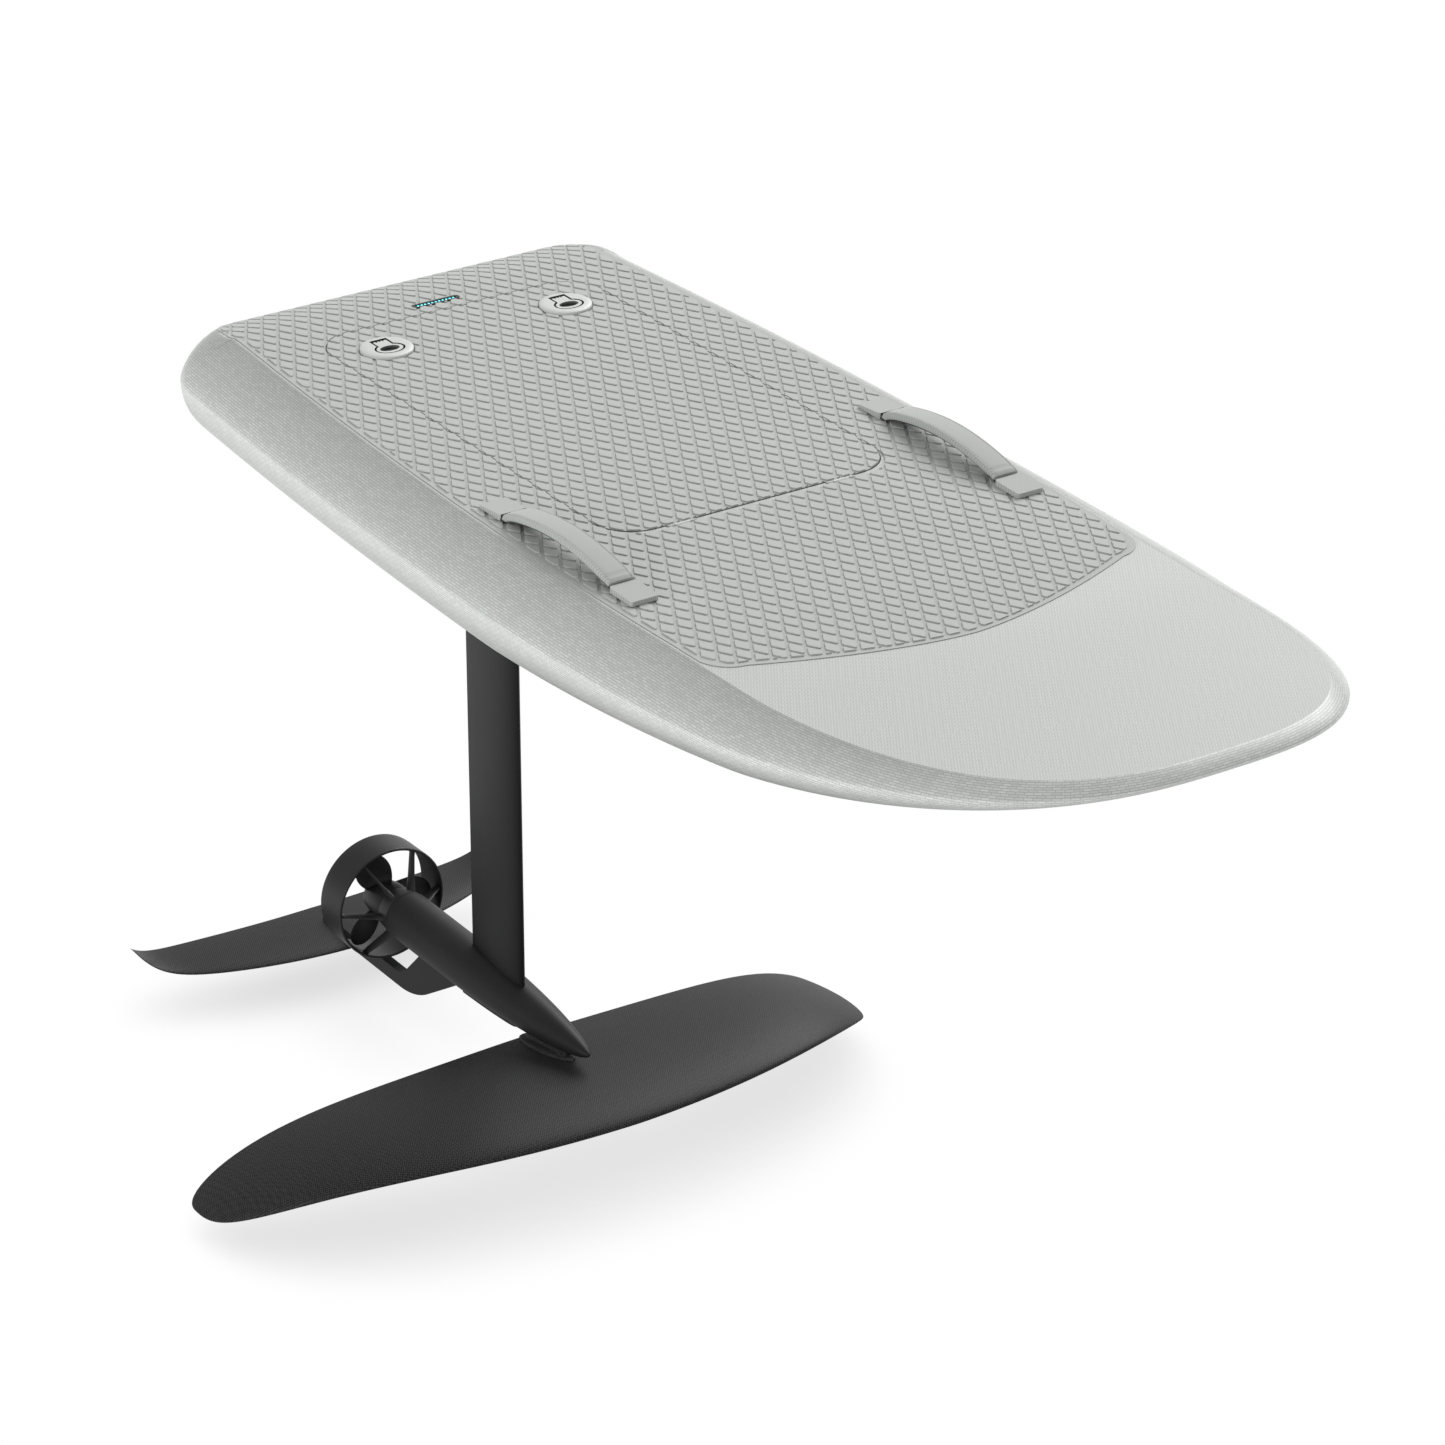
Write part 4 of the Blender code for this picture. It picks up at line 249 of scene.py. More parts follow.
def plain_material(name, colour, roughness, metallic=0.0, grain=900.0, bump_height=0.00002, contrast=0.10,
                   coat=0.0, streak=(1, 1, 1), gloss=0.5):
    """Moulded or machined surface: fine grain, slow colour drift and uneven gloss."""
    material, tree, shader = new_material(name)
    fine = noise(tree, coordinates(tree, streak), grain)
    slow = noise(tree, coordinates(tree), scale=14.0, detail=2.0)
    blend = mixed(tree, 0.5, fine, slow, "FLOAT")
    feed(tree, shader.inputs, {
        "Base Color": toned(tree, blend, colour, contrast, low=0.3, high=0.7),
        "Roughness": span(tree, blend, roughness - 0.07, roughness + 0.07),
        "Normal": bump(tree, fine, strength=0.5, distance=bump_height),
        "Metallic": metallic,
        "Specular IOR Level": gloss,
        "Coat Weight": coat,
        "Coat Roughness": 0.2,
    })
    return material


def weave_material(name, colour, rows, cell, turn, roughness, contrast, bump_height, gloss):
    """Cloth under clear lacquer: strands that cross in a chequer of over and under."""
    material, tree, shader = new_material(name)
    slant = (0, 0, math.radians(turn))
    spot = coordinates(tree, (1 / cell, 1 / cell, 1 / cell), slant)
    checker = add(tree, "ShaderNodeTexChecker", {"Vector": spot, "Scale": 1.0}).outputs["Fac"]
    strands = mixed(tree, checker, bands(tree, spot, rows, "X"), bands(tree, spot, rows, "Y"), "FLOAT")
    drift = noise(tree, coordinates(tree), scale=9.0, detail=2.0)
    fibres = noise(tree, coordinates(tree, (260, 60, 260), slant), scale=3.0, detail=2.0)
    weave = mixed(tree, 0.25, strands, fibres, "FLOAT")
    base = toned(tree, weave, colour, contrast, low=0.25, high=0.75)
    feed(tree, shader.inputs, {
        "Base Color": mixed(tree, span(tree, drift, 0.0, 0.10), base, tinted(colour, 0.86)),
        "Roughness": span(tree, weave, roughness - 0.06, roughness + 0.06),
        "Normal": bump(tree, strands, strength=0.35, distance=bump_height),
        "Specular IOR Level": gloss,
    })
    return material


def rail_material(name, colour):
    """The lacquered cloth of the rail, whose rows of dashes run along the board, with painted shade and a
    painted highlight across its section.
    """
    material, tree, shader = new_material(name)
    dashes = {
        "Vector": coordinates(tree, source="UV"),
        "Color1": tinted(colour, 0.92),
        "Color2": tinted(colour, 1.10),
        "Mortar": tinted(colour, 0.62),
        "Scale": 1.0,
        "Mortar Size": 0.0005,
        "Mortar Smooth": 0.6,
        "Bias": 0.0,
        "Brick Width": 0.0092,
        "Row Height": 0.0029,
    }
    brick = add(tree, "ShaderNodeTexBrick", dashes, offset=0.37).outputs
    fibres = noise(tree, coordinates(tree, (60, 700, 1), source="UV"), scale=4.0, detail=2.0)
    slow = noise(tree, coordinates(tree), scale=7.0, detail=2.0)
    speckled = mixed(tree, span(tree, fibres, 0.0, 0.22), brick["Color"], tinted(colour, 0.9))
    drifting = mixed(tree, span(tree, slow, 0.0, 0.08), speckled, tinted(colour, 0.8))
    # Painted shade and highlight across the rail's section, giving way to an even brightness near the nose
    section = add(tree, "ShaderNodeUVMap", uv_map="section").outputs["UV"]
    shares = add(tree, "ShaderNodeSeparateXYZ", {"Vector": section}).outputs
    painted_rail_light = ramp(tree, shares["X"], *((share, grey(brightness)) for share, brightness in RAIL_PAINTED_LIGHT))
    painted_light = mixed(tree, shares["Y"], painted_rail_light, grey(NOSE_EVEN_BRIGHTNESS))
    feed(tree, shader.inputs, {
        "Base Color": mixed(tree, 1.0, drifting, painted_light, blend="MULTIPLY"),
        "Roughness": span(tree, fibres, 0.26, 0.38),
        "Normal": bump(tree, brick["Fac"], strength=0.25, distance=0.00012),
        "Specular IOR Level": 0.4,
    })
    return material


def foam_material(name, colour):
    """Closed-cell foam with fine pores and a slow drift of colour."""
    material, tree, shader = new_material(name)
    spot = coordinates(tree)
    pores = add(tree, "ShaderNodeTexVoronoi", {"Vector": spot, "Scale": 1500.0}).outputs["Distance"]
    slow = noise(tree, spot, scale=5.0)
    speckled = mixed(tree, span(tree, pores, 0.16, 0.0), tinted(colour), tinted(colour, 0.72))
    feed(tree, shader.inputs, {
        "Base Color": mixed(tree, span(tree, slow, 0.0, 0.12), speckled, tinted(colour, 0.82)),
        "Roughness": span(tree, slow, 0.72, 0.88),
        "Normal": bump(tree, pores, strength=0.3, distance=0.00008),
        "Sheen Weight": 0.12,
    })
    return material


def cloth_material(name, colour, rib=0.0011, contrast=0.13):
    """Ribbed strap cloth with slanted twill rows."""
    material, tree, shader = new_material(name)
    spot = coordinates(tree, (1 / rib, 1 / rib, 1 / rib), (0, 0, math.radians(62)))
    twill = bands(tree, spot, 0.16, "X", distortion=0.4)
    yarn = bands(tree, spot, 0.42, "Y", distortion=0.6)
    cloth = mixed(tree, 0.35, twill, yarn, "FLOAT")
    fuzz = noise(tree, coordinates(tree), scale=1400.0)
    fuzzy = mixed(tree, 0.35, cloth, fuzz, "FLOAT")
    feed(tree, shader.inputs, {
        "Base Color": toned(tree, fuzzy, colour, contrast, low=0.2, high=0.8),
        "Roughness": span(tree, fuzz, 0.74, 0.9),
        "Normal": bump(tree, cloth, strength=0.5, distance=0.00016),
        "Sheen Weight": 0.2,
    })
    return material


def glow_material(name, colour, strength):
    """A lit diode, faintly uneven."""
    material, tree, shader = new_material(name)
    shade = noise(tree, coordinates(tree), scale=700.0)
    colours = ramp(tree, shade, (0.3, tinted(colour, 0.75)), (0.7, tinted(colour, 1.1)))
    feed(tree, shader.inputs, {
        "Base Color": colours,
        "Emission Color": colours,
        "Emission Strength": strength,
        "Roughness": 0.3,
    })
    return material


HULL_COLOUR = (0.51, 0.53, 0.51)
RAIL_COLOUR = (0.665, 0.69, 0.665)
CARBON_COLOUR = (0.032, 0.032, 0.0328)
# Even brightness that takes the place of the rail's painted shade and highlight near the nose
NOSE_EVEN_BRIGHTNESS = 0.86
# Painted shade and highlight on the rail, as brightness by the share of its section from the deck edge to
# the bottom: darker below the deck edge, a painted highlight along the rail line, darker again on the tuck
RAIL_PAINTED_LIGHT = ((0.0, 0.60), (0.10, 0.68), (0.30, 0.84), (0.44, 0.99), (0.52, 1.0), (0.62, 0.72), (0.80, 0.58))

HULL_DECK = weave_material("hull_deck_cloth", HULL_COLOUR, rows=0.48, cell=0.0046, turn=33, roughness=0.40,
                           contrast=0.12, bump_height=0.00012, gloss=0.12)
CARBON = weave_material("carbon_cloth", CARBON_COLOUR, rows=0.374, cell=0.0031, turn=38, roughness=0.46,
                        contrast=0.60, bump_height=0.00016, gloss=0.10)
HULL_RAIL = rail_material("hull_rail_cloth", RAIL_COLOUR)
PAD_FOAM = foam_material("pad_foam", (0.47, 0.485, 0.47))
# The pad's base, seen as the groove floors, and the tile walls are a little darker foam than the tile tops:
# painted shade in the grooves and on the walls
PAD_GROOVE_SHADE = foam_material("pad_groove_foam_painted_shade", (0.45, 0.465, 0.45))
PAD_WALL_SHADE = foam_material("pad_wall_foam_painted_shade", (0.42, 0.43, 0.42))
STRAP = cloth_material("strap_cloth", (0.41, 0.43, 0.41), contrast=0.2)
# Near-black webbing, used too as painted shadow in the slot under the rear tab and on that tab's front face
WEBBING_AND_SHADOW = cloth_material("dark_webbing_and_painted_shadow", (0.03, 0.03, 0.031), rib=0.0014)
WHITE = plain_material("white_plastic", (0.62, 0.635, 0.62), 0.38, contrast=0.03, gloss=0.25)
PALE = plain_material("pale_plastic", (0.44, 0.47, 0.44), 0.5, contrast=0.05)
# Near-black and dark grey for the latch: painted shade in the gaps round the lift ring, in its pocket and
# in the finger hole
LATCH_GAP_SHADE = plain_material("latch_gap_painted_shade", (0.030, 0.031, 0.031), 0.55)
LATCH_HOLLOW_SHADE = plain_material("latch_hollow_painted_shade", (0.15, 0.155, 0.155), 0.55)
BLACK = plain_material("black_plastic", (0.020, 0.020, 0.021), 0.42, grain=1300.0, contrast=0.18)
GUARD = plain_material("guard_plastic", (0.020, 0.020, 0.0208), 0.42, grain=1500.0, contrast=0.14,
                       gloss=0.24)
METAL = plain_material("black_anodised", (0.018, 0.018, 0.0188), 0.46, grain=1600.0, contrast=0.12,
                       gloss=0.14)
MAST = plain_material("mast_anodised", (0.009, 0.009, 0.0094), 0.46, grain=420.0, streak=(1.0, 1.0, 0.02),
                      gloss=0.16)
RUBBER = plain_material("seal_rubber", (0.018, 0.018, 0.018), 0.72, grain=1100.0)
SHELL = plain_material("moulded_shell", (0.16, 0.165, 0.165), 0.5, grain=700.0)
BATTERY = plain_material("battery_shell", (0.060, 0.061, 0.063), 0.55, grain=800.0, bump_height=0.00005)
STEEL = plain_material("brushed_steel", (0.55, 0.55, 0.56), 0.3, metallic=1.0, grain=300.0,
                       streak=(0.1, 4, 4))
COPPER = plain_material("copper_winding", (0.55, 0.24, 0.10), 0.38, metallic=1.0, grain=240.0,
                        streak=(0.08, 5, 5))
LENS_BLACK = plain_material("lens_black", (0.012, 0.013, 0.014), 0.22, grain=500.0, coat=0.5)
GLOW = glow_material("diode_glow", (0.10, 0.72, 0.78), strength=2.6)


# Measures


def shares(steps):
    """Even steps from 0 to 1."""
    return [i / steps for i in range(steps + 1)]


def between(first, last, share):
    return first + (last - first) * share


def ease(value, first, last):
    share = min(max((value - first) / (last - first), 0.0), 1.0)
    return share * share * (3.0 - 2.0 * share)


def turns(count):
    return [2 * math.pi * i / count for i in range(count)]


def shifted(points, x=0.0, y=0.0):
    return [(px + x, py + y) for px, py in points]


def arc(centre, radius, first, last, steps):
    x, y = centre
    angles = [between(first, last, share) for share in shares(steps)]
    return [(x + radius * math.cos(angle), y + radius * math.sin(angle)) for angle in angles]


def circle(centre, radius, steps=48):
    points = [(radius * math.cos(angle), radius * math.sin(angle)) for angle in turns(steps)]
    return shifted(points, *centre)


def rounded_rectangle(rear, front, half_width, radius, steps=14):
    corners = (
        (front - radius, half_width - radius),
        (rear + radius, half_width - radius),
        (rear + radius, radius - half_width),
        (front - radius, radius - half_width),
    )
    points = []
    for turn, centre in enumerate(corners):
        points += arc(centre, radius, turn * QUARTER, (turn + 1) * QUARTER, steps)
    return points


# Mesh building


def finish_mesh(builder, name, *materials):
    """Turn a bmesh into an object with outward faces and smooth shading."""
    bmesh.ops.recalc_face_normals(builder, faces=builder.faces)
    mesh = bpy.data.meshes.new(name)
    builder.to_mesh(mesh)
    builder.free()
    for material in materials:
        mesh.materials.append(material)
    mesh.shade_smooth()
    obj = bpy.data.objects.new(name, mesh)
    bpy.context.scene.collection.objects.link(obj)
    return obj


@contextmanager
def edited(obj):
    """An object's mesh, opened for editing and then written back."""
    builder = bmesh.new()
    builder.from_mesh(obj.data)
    yield builder
    builder.to_mesh(obj.data)
    builder.free()


def bridge(builder, before, after, closed=True):
    """Faces between two rows of equally many vertices."""
    count = len(before)
    faces = []
    for i in range(count if closed else count - 1):
        j = (i + 1) % count
        faces.append(builder.faces.new((before[i], before[j], after[j], after[i])))
    return faces


def add_rows(builder, rings):
    return [[builder.verts.new(point) for point in ring] for ring in rings]


def add_loft(builder, rings, material=0, wall=0):
    """A closed body through rings of equally many points, with its own material between the first two."""
    rows = add_rows(builder, rings)
    for lower, upper in zip(rows, rows[1:]):
        for face in bridge(builder, lower, upper):
            face.material_index = wall if lower is rows[0] else material
    for end in (rows[0], rows[-1]):
        builder.faces.new(end).material_index = material


def loft(name, rings, *materials):
    builder = bmesh.new()
    add_loft(builder, rings)
    return finish_mesh(builder, name, *materials)


def add_turned(builder, profile, height, steps, closed=True):
    """Revolve (x, radius) points about a line along X at a height."""
    rings = []
    for angle in turns(steps):
        rings.append([(x, r * math.sin(angle), height + r * math.cos(angle)) for x, r in profile])
    rows = add_rows(builder, rings)
    for before, after in zip(rows, rows[1:] + rows[:1]):
        bridge(builder, before, after, closed)


def weld(builder):
    bmesh.ops.remove_doubles(builder, verts=builder.verts, dist=1e-6)
    bmesh.ops.dissolve_degenerate(builder, edges=builder.edges, dist=1e-7)


def evaluated_mesh(obj):
    """A new mesh of an object with its modifiers."""
    bpy.context.view_layer.update()
    return bpy.data.meshes.new_from_object(obj.evaluated_get(bpy.context.evaluated_depsgraph_get()))


def plate(name, outlines, low, high, *materials):
    """A flat piece from a closed outline, with any further outlines as holes, between two heights."""
    curve = bpy.data.curves.new(name + "_outline", "CURVE")
    curve.dimensions = "2D"
    curve.fill_mode = "BOTH"
    curve.extrude = (high - low) / 2
    for outline in outlines:
        spline = curve.splines.new("POLY")
        spline.points.add(len(outline) - 1)
        for point, (x, y) in zip(spline.points, outline):
            point.co = (x, y, 0.0, 1.0)
        spline.use_cyclic_u = True
    guide = bpy.data.objects.new(name + "_guide", curve)
    bpy.context.scene.collection.objects.link(guide)
    mesh = evaluated_mesh(guide)
    bpy.data.objects.remove(guide, do_unlink=True)
    builder = bmesh.new()
    builder.from_mesh(mesh)
    bpy.data.meshes.remove(mesh)
    weld(builder)
    bmesh.ops.translate(builder, vec=(0, 0, (low + high) / 2), verts=builder.verts)
    obj = finish_mesh(builder, name, *materials)
    obj.data.set_sharp_from_angle(angle=math.radians(35))
    return obj


def baked(obj):
    """Replace an object's mesh by what its modifiers make of it."""
    mesh = evaluated_mesh(obj)
    obj.modifiers.clear()
    old = obj.data
    obj.data = mesh
    bpy.data.meshes.remove(old)
    return obj


def carve(obj, operation, *tools):
    """Cut, join or intersect with tools, which are then removed."""
    for tool in tools:
        modifier = obj.modifiers.new("carve", "BOOLEAN")
        modifier.operation = operation
        modifier.solver = "EXACT"
        modifier.object = tool
        baked(obj)
        bpy.data.objects.remove(tool, do_unlink=True)
    return obj


def joined(first, *others):
    """Put other objects' meshes into the first one."""
    with edited(first) as merged:
        for other in others:
            merged.from_mesh(other.data)
            bpy.data.objects.remove(other, do_unlink=True)
    return first


def soften(obj, width, segments=3, angle=40):
    bevel = obj.modifiers.new("soften", "BEVEL")
    bevel.width = width
    bevel.segments = segments
    bevel.limit_method = "ANGLE"
    bevel.angle_limit = math.radians(angle)
    bevel.harden_normals = False
    return obj


def even_shading(obj, sharp=40):
    """Smooth shading that keeps broad flat faces flat."""
    obj.data.shade_smooth()
    obj.data.set_sharp_from_angle(angle=math.radians(sharp))
    weighted = obj.modifiers.new("even_shading", "WEIGHTED_NORMAL")
    weighted.keep_sharp = True
    return obj


def place(obj, body, *replaced):
    """Let a piece ride on its CAD body in place of CAD nodes."""
    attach(obj, body)
    if replaced:
        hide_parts(*replaced)
    return obj


# Hull


def straight_half_width(x):
    if x > WIDEST_X:
        share = min((x - WIDEST_X) / (NOSE_X - WIDEST_X), 1.0)
        return RAIL_HALF_WIDTH * (1.0 - share**NOSE_LENGTH_POWER) ** (1.0 / NOSE_WIDTH_POWER)
    share = (WIDEST_X - x) / (WIDEST_X - TAIL_X)
    return between(RAIL_HALF_WIDTH, TAIL_HALF_WIDTH, share**TAIL_TAPER_POWER)


def rail_outline():
    """Port half of the rail line, from the end of the straight tail edge to the nose."""
    points = []
    for share in shares(CORNER_STEPS)[:-1]:
        angle = QUARTER * share
        x = TAIL_X + TAIL_CORNER_RADIUS * (1.0 - math.cos(angle))
        points.append((x, straight_half_width(x) - TAIL_CORNER_RADIUS * (1.0 - math.sin(angle))))
    stations = [between(TAIL_ROLL_X, NOSE_KICK_START_X, share) for share in shares(SIDE_STEPS)]
    kick_share = (NOSE_KICK_START_X - WIDEST_X) / (NOSE_X - WIDEST_X)
    first = math.asin(kick_share ** (NOSE_LENGTH_POWER / 2))
    for share in shares(NOSE_STEPS)[1:]:
        angle = between(first, QUARTER, share)
        stations.append(between(WIDEST_X, NOSE_X, math.sin(angle) ** (2 / NOSE_LENGTH_POWER)))
    points += [(x, straight_half_width(x)) for x in stations]
    points[-1] = (NOSE_X, 0.0)
    return points


def outward_normals(points):
    normals = [Vector((-1.0, 0.0))]
    for before, after in zip(points, points[2:]):
        run = Vector(after) - Vector(before)
        normals.append(Vector((-run.y, run.x)).normalized())
    normals.append(Vector((1.0, 0.0)))
    return normals


def deck_height(x):
    share = max((x - NOSE_KICK_START_X) / (NOSE_X - NOSE_KICK_START_X), 0.0)
    return DECK_Z + NOSE_KICK * share**NOSE_KICK_POWER


def tail_drop(x):
    """How far the deck has rolled down at a place near the tail."""
    share = max((TAIL_ROLL_X - x) / (TAIL_ROLL_X - TAIL_X), 0.0)
    return TAIL_ROLL_DROP * share**TAIL_ROLL_POWER


def hull_thickness(x):
    share = max((x - ROCKER_START_X) / (NOSE_X - ROCKER_START_X), 0.0)
    return between(DECK_Z, NOSE_THICKNESS, share**ROCKER_POWER)


def shoulder_width(x, normal):
    side_share = max(normal.y, 0.0) ** SHOULDER_TURN_POWER if x < WIDEST_X else 1.0
    width = between(SHOULDER_TAIL, SHOULDER_SIDE, side_share)
    return between(width, SHOULDER_NOSE, ease(x, SHOULDER_FADE_X, NOSE_X))


def deck_edge(inset):
    rail = rail_outline()
    edge = []
    for point, normal in zip(rail, outward_normals(rail)):
        edge.append(Vector(point) - normal * (shoulder_width(point[0], normal) + inset))
    return edge


def hull_section(point, normal, inset, steps):
    """Points from the deck edge over the rail to the edge of the bottom, at one place on the outline."""
    x = point[0]
    rail = Vector(point) - normal * inset
    edge = rail - normal * shoulder_width(x, normal)
    deck = deck_height(x) - tail_drop(edge.x) - inset
    bottom = deck_height(x) - hull_thickness(x) + inset
    rail_z = deck_height(x) - RAIL_DROP * hull_thickness(x) / DECK_Z
    tuck = between(BOTTOM_TUCK, BOTTOM_TUCK_NOSE, ease(x, SHOULDER_FADE_X, NOSE_X))
    keel = rail - normal * tuck
    power = between(SHOULDER_POWER, SHOULDER_TAIL_POWER, max(-normal.x, 0.0))
    shoulder_steps, tuck_steps = steps
    section = []
    for share in shares(shoulder_steps):
        angle = QUARTER * share
        plan = edge.lerp(rail, math.sin(angle) ** (2 / power))
        up = max(math.cos(angle), 0.0) ** (2 / power)
        section.append((plan.x, plan.y, between(rail_z, deck, up)))
    for share in shares(tuck_steps)[1:]:
        angle = QUARTER * share
        plan = keel.lerp(rail, max(math.cos(angle), 0.0) ** (2 / TUCK_POWER))
        fall = math.sin(angle) ** (2 / TUCK_POWER)
        section.append((plan.x, plan.y, between(rail_z, bottom, fall)))
    return section


def run_lengths(points):
    """Distance along a line at each of its points."""
    lengths = [0.0]
    for before, after in zip(points, points[1:]):
        lengths.append(lengths[-1] + (Vector(after) - Vector(before)).length)
    return lengths


def hull_body(name, inset, steps, *materials):
    """The hull as a closed body, with its rail laid out flat for the cloth and for its painted shade and
    highlight.
    """
    rail = rail_outline()
    port = [hull_section(point, normal, inset, steps) for point, normal in zip(rail, outward_normals(rail))]
    builder = bmesh.new()
    cloth_map = builder.loops.layers.uv.new("cloth")
    share_map = builder.loops.layers.uv.new("section")
    port_rows = add_rows(builder, port)
    starboard_rows = add_rows(builder, [[(x, -y, z) for x, y, z in section] for section in port[:-1]])
    starboard_rows.append(port_rows[-1])
    on_cloth = {}
    faces = []
    for rows, sign in ((port_rows, 1), (starboard_rows, -1)):
        for row, section, distance in zip(rows, port, run_lengths(rail)):
            for i, (vertex, depth) in enumerate(zip(row, run_lengths(section))):
                on_cloth.setdefault(vertex, (distance * sign, depth, i / (len(section) - 1)))
        for before, after in zip(rows, rows[1:]):
            faces += bridge(builder, before, after, closed=False)
    tail = bridge(builder, starboard_rows[0], port_rows[0], closed=False)
    for face in faces + tail:
        face.material_index = min(1, len(materials) - 1)
        for loop in face.loops:
            distance, depth, share = on_cloth[loop.vert]
            if face in tail:
                distance = -loop.vert.co.y
            elif face.calc_center_median().y < 0:
                distance = -abs(distance)
            loop[cloth_map].uv = (distance, depth)
            # The share across the section and the blend toward the nose place the rail's painted shade and
            # highlight
            loop[share_map].uv = (share, ease(loop.vert.co.x, NOSE_BLEND_X, NOSE_X))
    for level in (0, -1):
        port_line = [row[level] for row in port_rows[:-1]]
        starboard_line = [row[level] for row in starboard_rows[:-1]]
        bridge(builder, port_line, starboard_line, closed=False)
        builder.faces.new((port_line[-1], port_rows[-1][level], starboard_line[-1]))
    return finish_mesh(builder, name, *materials)


def hatch_outline(grow=0.0, front_grow=None):
    front = HATCH_HALF_LENGTH + (grow if front_grow is None else front_grow)
    return rounded_rectangle(-HATCH_HALF_LENGTH - grow, front, HATCH_HALF_WIDTH + grow, HATCH_CORNER + grow)


def crease_between_materials(obj):
    """Keep the edge sharp where two materials meet behind the nose."""
    with edited(obj) as builder:
        for edge in builder.edges:
            behind_nose = max(vertex.co.x for vertex in edge.verts) < NOSE_BLEND_X
            if behind_nose and len({face.material_index for face in edge.link_faces}) > 1:
                edge.smooth = False


def make_hull():
    hull = hull_body("hull_skin", 0.0, OUTER_STEPS, HULL_DECK, HULL_RAIL)
    hollow = hull_body("hull_hollow", SKIN, INNER_STEPS, HULL_DECK)
    openings = [hatch_outline(SEAM)]
    rear, front = HATCH_HALF_LENGTH, HATCH_HALF_LENGTH + HINGE_BAND
    for side in SIDES:
        low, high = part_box(f"hinge_leaf_{side}")
        near, far = low.y - SEAM, high.y + SEAM
        openings.append([(rear, near), (front, near), (front, far), (rear, far)])
    tools = [plate("hull_opening", [outline], DECK_Z - 2 * SKIN, DECK_Z + SKIN) for outline in openings]
    carve(hull, "DIFFERENCE", hollow, *tools)
    even_shading(hull, 60)
    crease_between_materials(hull)
    place(hull, "board", "board_hull")


# Deck pads


def pad_outline(inset=0.0):
    """Outline of the deck pad: along the deck edge, square at the tail, with a bowed front."""
    stations = sorted((p.x, p.y) for p in deck_edge(PAD_EDGE_INSET + inset) if p.y > 0)

    def edge_y(x):
        for before, after in zip(stations, stations[1:]):
            if before[0] <= x <= after[0]:
                share = (x - before[0]) / (after[0] - before[0])
                return between(before[1], after[1], share)
        return stations[0][1]

    def bow_x(y):
        return PAD_FRONT_X - inset - PAD_FRONT_BOW * (abs(y) / corner_y) ** PAD_BOW_POWER

    corner = PAD_FRONT_CORNER
    corner_y = edge_y(PAD_FRONT_X - PAD_FRONT_BOW - corner) - corner
    port = [(bow_x(corner_y * share), corner_y * share) for share in shares(PAD_BOW_STEPS)]
    slope = math.atan(PAD_FRONT_BOW * PAD_BOW_POWER / corner_y)
    centre = (bow_x(corner_y) - corner * math.cos(slope), corner_y - corner * math.sin(slope))
    reach = edge_y(centre[0]) - centre[1]
    for share in shares(PAD_CORNER_STEPS)[1:]:
        angle = between(slope, QUARTER, share)
        radius = between(corner, reach, share)
        port.append((centre[0] + radius * math.cos(angle), centre[1] + radius * math.sin(angle)))
    tail_start = PAD_TAIL_X + inset + PAD_TAIL_CORNER
    for x, y in reversed(stations):
        if tail_start + PAD_TAIL_CORNER < x < centre[0] - PAD_TAIL_CORNER:
            port.append((x, y))
    tail_centre = (tail_start, edge_y(tail_start) - PAD_TAIL_CORNER)
    port += arc(tail_centre, PAD_TAIL_CORNER, QUARTER, math.pi, steps=8)
    return port + [(x, -y) for x, y in reversed(port) if y > 0]


def inside(point, outline):
    """Whether a point lies in a closed outline."""
    x, y = point
    found = False
    for (ax, ay), (bx, by) in zip(outline, outline[1:] + outline[:1]):
        if (ay > y) != (by > y) and x < ax + (y - ay) / (by - ay) * (bx - ax):
            found = not found
    return found


def tile_ring(centre, share, height):
    """A diamond with blunted corners about a centre."""
    a = TILE_HALF_LENGTH * share
    b = TILE_HALF_WIDTH * share
    tips = ((a, 0.0), (0.0, b), (-a, 0.0), (0.0, -b))
    ring = []
    for i, (x, y) in enumerate(tips):
        for next_x, next_y in (tips[i - 1], tips[(i + 1) % 4]):
            blunt_x = centre[0] + between(x, next_x, TILE_BLUNT)
            blunt_y = centre[1] + between(y, next_y, TILE_BLUNT)
            ring.append((blunt_x, blunt_y, height))
    return ring


